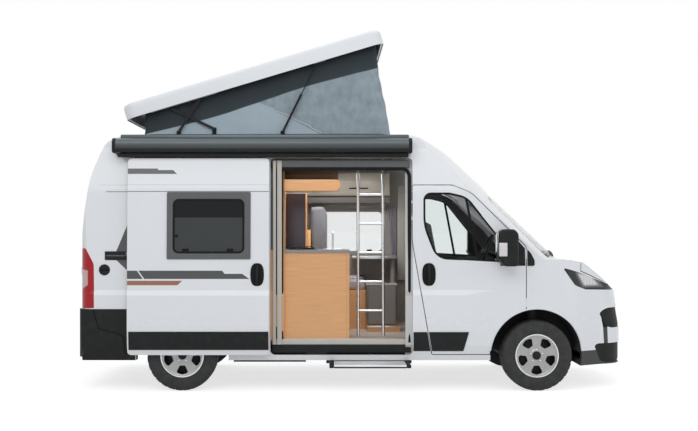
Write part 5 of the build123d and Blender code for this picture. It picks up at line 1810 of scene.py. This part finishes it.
class CAMPER_OT_hang_curtain(bpy.types.Operator):
    """Hang the gathered curtain beside the left window"""

    bl_idname = "camper.hang_curtain"
    bl_label = "Hang the curtain"

    def execute(self, context):
        deselect()
        bpy.ops.mesh.primitive_grid_add(x_subdivisions=96, y_subdivisions=40, size=2)
        piece = bpy.context.object
        for vertex in piece.data.vertices:
            u, v = (vertex.co.x + 1) / 2, (vertex.co.y + 1) / 2
            gather = 0.30 + 0.70 * v**1.4
            x = CURTAIN_EDGE_X - (1 - u) * CURTAIN_WIDE * gather
            pleat = math.sin(2 * math.pi * PLEATS * u + 0.6 * v)
            y = CURTAIN_Y + (0.012 + 0.009 * v) * pleat + 0.002 * math.sin(17 * v + 9 * u)
            vertex.co = (x, y, CURTAIN_FOOT_Z + CURTAIN_DROP * v)
        modified(piece, "SOLIDIFY", thickness=0.0015, offset=0)
        piece.name = piece.data.name = "curtain_gathered"
        only(piece)
        bpy.ops.object.shade_smooth()
        dressed(piece, "curtain_cloth")
        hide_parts("curtain")
        return {"FINISHED"}


MIRROR_SHELL = (
    (1.345, 1.300, 0.05), (1.345, 1.572, 0.075), (1.500, 1.572, 0.05), (1.541, 1.530, 0.05),
    (1.541, 1.218, 0.03), (1.405, 1.218, 0.05),
)
MIRROR_BELT = quad(1.298, 1.312, 1.42, 1.42, 1.5425, 1.5425)
MIRROR_PANE = box_rows(1.088, 1.226, 1.318, 1.545, 0.03)
MIRROR_LENS = ((1.352, 1.2538, 1.314), (1.430, 1.205, 1.444))
MIRROR_OUT, MIRROR_IN = 1.2515, 1.066
MIRROR_ARM_X, MIRROR_ARM_Y, MIRROR_ARM_Z = 1.452, (0.975, 1.02, 1.08), (1.285, 1.425)


class CAMPER_OT_fit_mirrors(bpy.types.Operator):
    """Model the door mirrors: shell, arms, pane and indicator"""

    bl_idname = "camper.fit_mirrors"
    bl_label = "Fit the mirrors"

    def execute(self, context):
        for side, hand in SIDE_NAMES.items():
            door = "front_door_" + hand
            ends = sorted((side * MIRROR_OUT, side * MIRROR_IN))
            shell = plate(f"mirror_shell_{hand}", corner_path(MIRROR_SHELL), 1, *ends, 0)
            rounded(shell, 0.042, 5)
            ends = sorted((side * (MIRROR_OUT - 0.03), side * MIRROR_IN))
            whole = [shell, plate(f"mirror_belt_{hand}", MIRROR_BELT, 1, *ends, 0.003)]
            for z in MIRROR_ARM_Z:
                arm = [(MIRROR_ARM_X, side * y, z) for y in MIRROR_ARM_Y]
                whole.append(tube(f"mirror_arm_{hand}", arm, 0.02))
            head = dressed(joined("mirror_head_" + hand, whole), "black_plastic", door)
            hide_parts("mirror_" + hand)
            outline = [(side * p.x, p.y) for p in corner_path(MIRROR_PANE)]
            dressed(plate(f"mirror_pane_{hand}", outline, 0, 1.3435, 1.3475, 0.001), "mirror_glass", door)
            (x0, y0, z0), (x1, y1, z1) = MIRROR_LENS
            y0, y1 = sorted((side * y0, side * y1))
            lens = board(f"mirror_lens_{hand}", (x0, y0, z0), (x1, y1, z1), 0.006)
            dressed(lens, "pale_lens", door)
        return {"FINISHED"}


STEP_X, STEP_BACK_Y, RIB_COUNT, RIB_PITCH = (-0.2152, 0.4752), -0.7005, 15, 0.034
STEP_ENDS = ((-0.2599, -0.2155), (0.4755, 0.5199))


class CAMPER_OT_fit_step(bpy.types.Operator):
    """Make the entry step: bright tray with ribs and a nose, dark lip and ends"""

    bl_idname = "camper.fit_step"
    bl_label = "Fit the step"

    def execute(self, context):
        low, high = STEP_X
        ribs = [board("step_tray", (low, -1.2270, 0.2505), (high, STEP_BACK_Y, 0.2812), 0.002)]
        for k in range(RIB_COUNT):
            y = -1.2150 + RIB_PITCH * k
            ribs.append(board(f"tread_rib_{k}", (-0.214, y, 0.2800), (0.474, y + 0.018, 0.2840), 0.001))
        ribs.append(board("step_nose", (low, -1.2398, 0.2640), (high, -1.2265, 0.2840), 0.004))
        tread = dressed(joined("step_tread", ribs), "bare_aluminium", "step")
        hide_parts("step")
        ends = [board("step_lip", (-0.2155, -1.2390, 0.2505), (0.4755, -1.2275, 0.2635), 0.004)]
        for k, (x0, x1) in enumerate(STEP_ENDS):
            ends.append(board(f"step_end_{k}", (x0, -1.2399, 0.2503), (x1, -0.7003, 0.2840), 0.010))
        dressed(joined("step_ends", ends), "black_plastic", "step")
        return {"FINISHED"}


BRAKE_LAMP_Z = (2.225, 2.262)


class CAMPER_OT_fit_rear(bpy.types.Operator):
    """Put the handle and the high brake lamp on the back"""

    bl_idname = "camper.fit_rear"
    bl_label = "Fit the rear"

    def execute(self, context):
        cup = board("rear_handle_cup", (-2.6905, -0.215, 1.055), (-2.6845, -0.045, 1.165), 0.004)
        dressed(cup, "rubber", "rear_door_right")
        path = [(-2.688, -0.195, 1.11), (-2.696, -0.18, 1.11), (-2.696, -0.08, 1.11), (-2.688, -0.065, 1.11)]
        dressed(tube("rear_handle", path, 0.009), "black_plastic", "rear_door_right")
        z0, z1 = BRAKE_LAMP_Z
        x0, x1 = rear_x(z0), rear_x(z1)
        outline = quad(z0, z1, x0 - 0.008, x1 - 0.008, x1 + 0.004, x0 + 0.004)
        dressed(plate("high_brake_lamp", outline, 1, -0.16, 0.16, 0.003), "lamp_lens")
        return {"FINISHED"}


class CAMPER_OT_set_stage(bpy.types.Operator):
    """Lay the floor, hang the lights and place the camera at the photograph's angle"""

    bl_idname = "camper.set_stage"
    bl_label = "Set the stage"

    def execute(self, context):
        studio = context.scene.camper_studio
        make_floor()
        make_world(studio.fill)
        area_light("front_light", (-1.5, -9.0, 6.5), (0, 0, 1.2), (9, 5), studio.key)
        area_light("top_light", (0, 0, 8.5), (0, 0, 0), (9, 6), 0.55 * studio.key)
        area_light("nose_light", (8.5, -5.0, 3.5), (1.5, 0, 1.2), (5, 4), 0.3 * studio.key)
        area_light("room_light", (-0.15, -0.25, 2.17), (-0.15, 0.0, 0), (1.1, 0.5), studio.room)
        place_camera()
        context.scene.view_settings.view_transform = "Standard"
        return {"FINISHED"}


FLOOR_GLOW, GLOW_SHARE = 2.05, 0.35


def make_floor():
    deselect()
    bpy.ops.mesh.primitive_plane_add(size=400, location=(0, 0, -0.001))
    floor = bpy.context.object
    floor.name = "studio_floor"
    f = Finish("studio_floor", (0.86, 0.86, 0.86), 0.9)
    path = f.node("ShaderNodeLightPath")
    seen = Value(f, path.outputs["Is Camera Ray"]) + Value(f, path.outputs["Is Glossy Ray"])
    seen = (seen + Value(f, path.outputs["Is Transmission Ray"])).least(1.0)
    glow = f.node("ShaderNodeEmission", {}, {"Color": (1, 1, 1), "Strength": FLOOR_GLOW})
    mixed = f.node(
        "ShaderNodeMixShader", {}, {0: seen * GLOW_SHARE, 1: f.shader.outputs[0], 2: glow.outputs[0]}
    )
    f.tree.links.new(mixed.outputs[0], f.surface)
    floor.data.materials.append(f.material)


def make_world(strength):
    world = bpy.data.worlds.new("studio")
    bpy.context.scene.world = world
    world.use_nodes = True
    nodes, links = world.node_tree.nodes, world.node_tree.links
    nodes.clear()
    even, white = nodes.new("ShaderNodeBackground"), nodes.new("ShaderNodeBackground")
    even.inputs["Color"].default_value = (0.97, 0.985, 1.0, 1)
    even.inputs["Strength"].default_value = strength
    white.inputs["Color"].default_value = (1, 1, 1, 1)
    white.inputs["Strength"].default_value = 1.0
    path = nodes.new("ShaderNodeLightPath")
    mixed, output = nodes.new("ShaderNodeMixShader"), nodes.new("ShaderNodeOutputWorld")
    total = path.outputs["Is Camera Ray"]
    for name in ("Is Glossy Ray", "Is Transmission Ray"):
        plus = nodes.new("ShaderNodeMath")
        plus.operation = "MAXIMUM"
        links.new(total, plus.inputs[0])
        links.new(path.outputs[name], plus.inputs[1])
        total = plus.outputs[0]
    links.new(total, mixed.inputs[0])
    links.new(even.outputs[0], mixed.inputs[1])
    links.new(white.outputs[0], mixed.inputs[2])
    links.new(mixed.outputs[0], output.inputs["Surface"])


def area_light(name, place, aim, size, power):
    lamp = bpy.data.lights.new(name, "AREA")
    lamp.shape = "RECTANGLE"
    lamp.size, lamp.size_y = size
    lamp.energy = power
    light = bpy.data.objects.new(name, lamp)
    light.location = place
    light.rotation_euler = (Vector(aim) - Vector(place)).to_track_quat("-Z", "Y").to_euler()
    light.visible_camera = False
    bpy.context.scene.collection.objects.link(light)


# The photograph's camera: where it stands, its lens and its shift
CAMERA_PLACE = (-0.253, -11.5, 1.612)
SENSOR_MM, LENS_MM, LENS_SHIFT = 36, 55.76, (0.0272, 0.0136)


def place_camera():
    lens = bpy.data.cameras.new("camera")
    lens.sensor_width = SENSOR_MM
    lens.lens = LENS_MM
    lens.shift_x, lens.shift_y = LENS_SHIFT
    lens.clip_end = 500
    camera = bpy.data.objects.new("camera", lens)
    camera.location = CAMERA_PLACE
    camera.rotation_euler = (math.pi / 2, 0, 0)
    bpy.context.scene.collection.objects.link(camera)
    bpy.context.scene.camera = camera


class CAMPER_PT_pieces(bpy.types.Panel):
    """The steps that dress the van"""

    bl_label = "Camper van"
    bl_idname = "CAMPER_PT_pieces"
    bl_space_type = "VIEW_3D"
    bl_region_type = "UI"
    bl_category = "Camper"

    def draw(self, context):
        for step in STEPS:
            self.layout.operator(step.bl_idname)


STEPS = [
    CAMPER_OT_coat_solids, CAMPER_OT_glaze_windows, CAMPER_OT_raise_tent, CAMPER_OT_fit_wheels,
    CAMPER_OT_fit_mouldings, CAMPER_OT_shape_nose, CAMPER_OT_fit_front, CAMPER_OT_fit_doorway,
    CAMPER_OT_fit_awning, CAMPER_OT_fit_furniture, CAMPER_OT_make_cushions, CAMPER_OT_hang_curtain,
    CAMPER_OT_fit_mirrors, CAMPER_OT_fit_step, CAMPER_OT_fit_rear, CAMPER_OT_set_stage,
]
GROUPS = {
    "camper_colours": CamperColours,
    "camper_sizes": CamperSizes,
    "camper_studio": CamperStudio,
}


def register():
    for name, group in GROUPS.items():
        bpy.utils.register_class(group)
        setattr(bpy.types.Scene, name, bpy.props.PointerProperty(type=group))
    for kind in (*STEPS, CAMPER_PT_pieces):
        bpy.utils.register_class(kind)


def unregister():
    for kind in (CAMPER_PT_pieces, *reversed(STEPS)):
        bpy.utils.unregister_class(kind)
    for name, group in reversed(GROUPS.items()):
        delattr(bpy.types.Scene, name)
        bpy.utils.unregister_class(group)


def main():
    register()
    for step in STEPS:
        group, name = step.bl_idname.split(".")
        getattr(getattr(bpy.ops, group), name)()


if __name__ == "__main__":
    main()
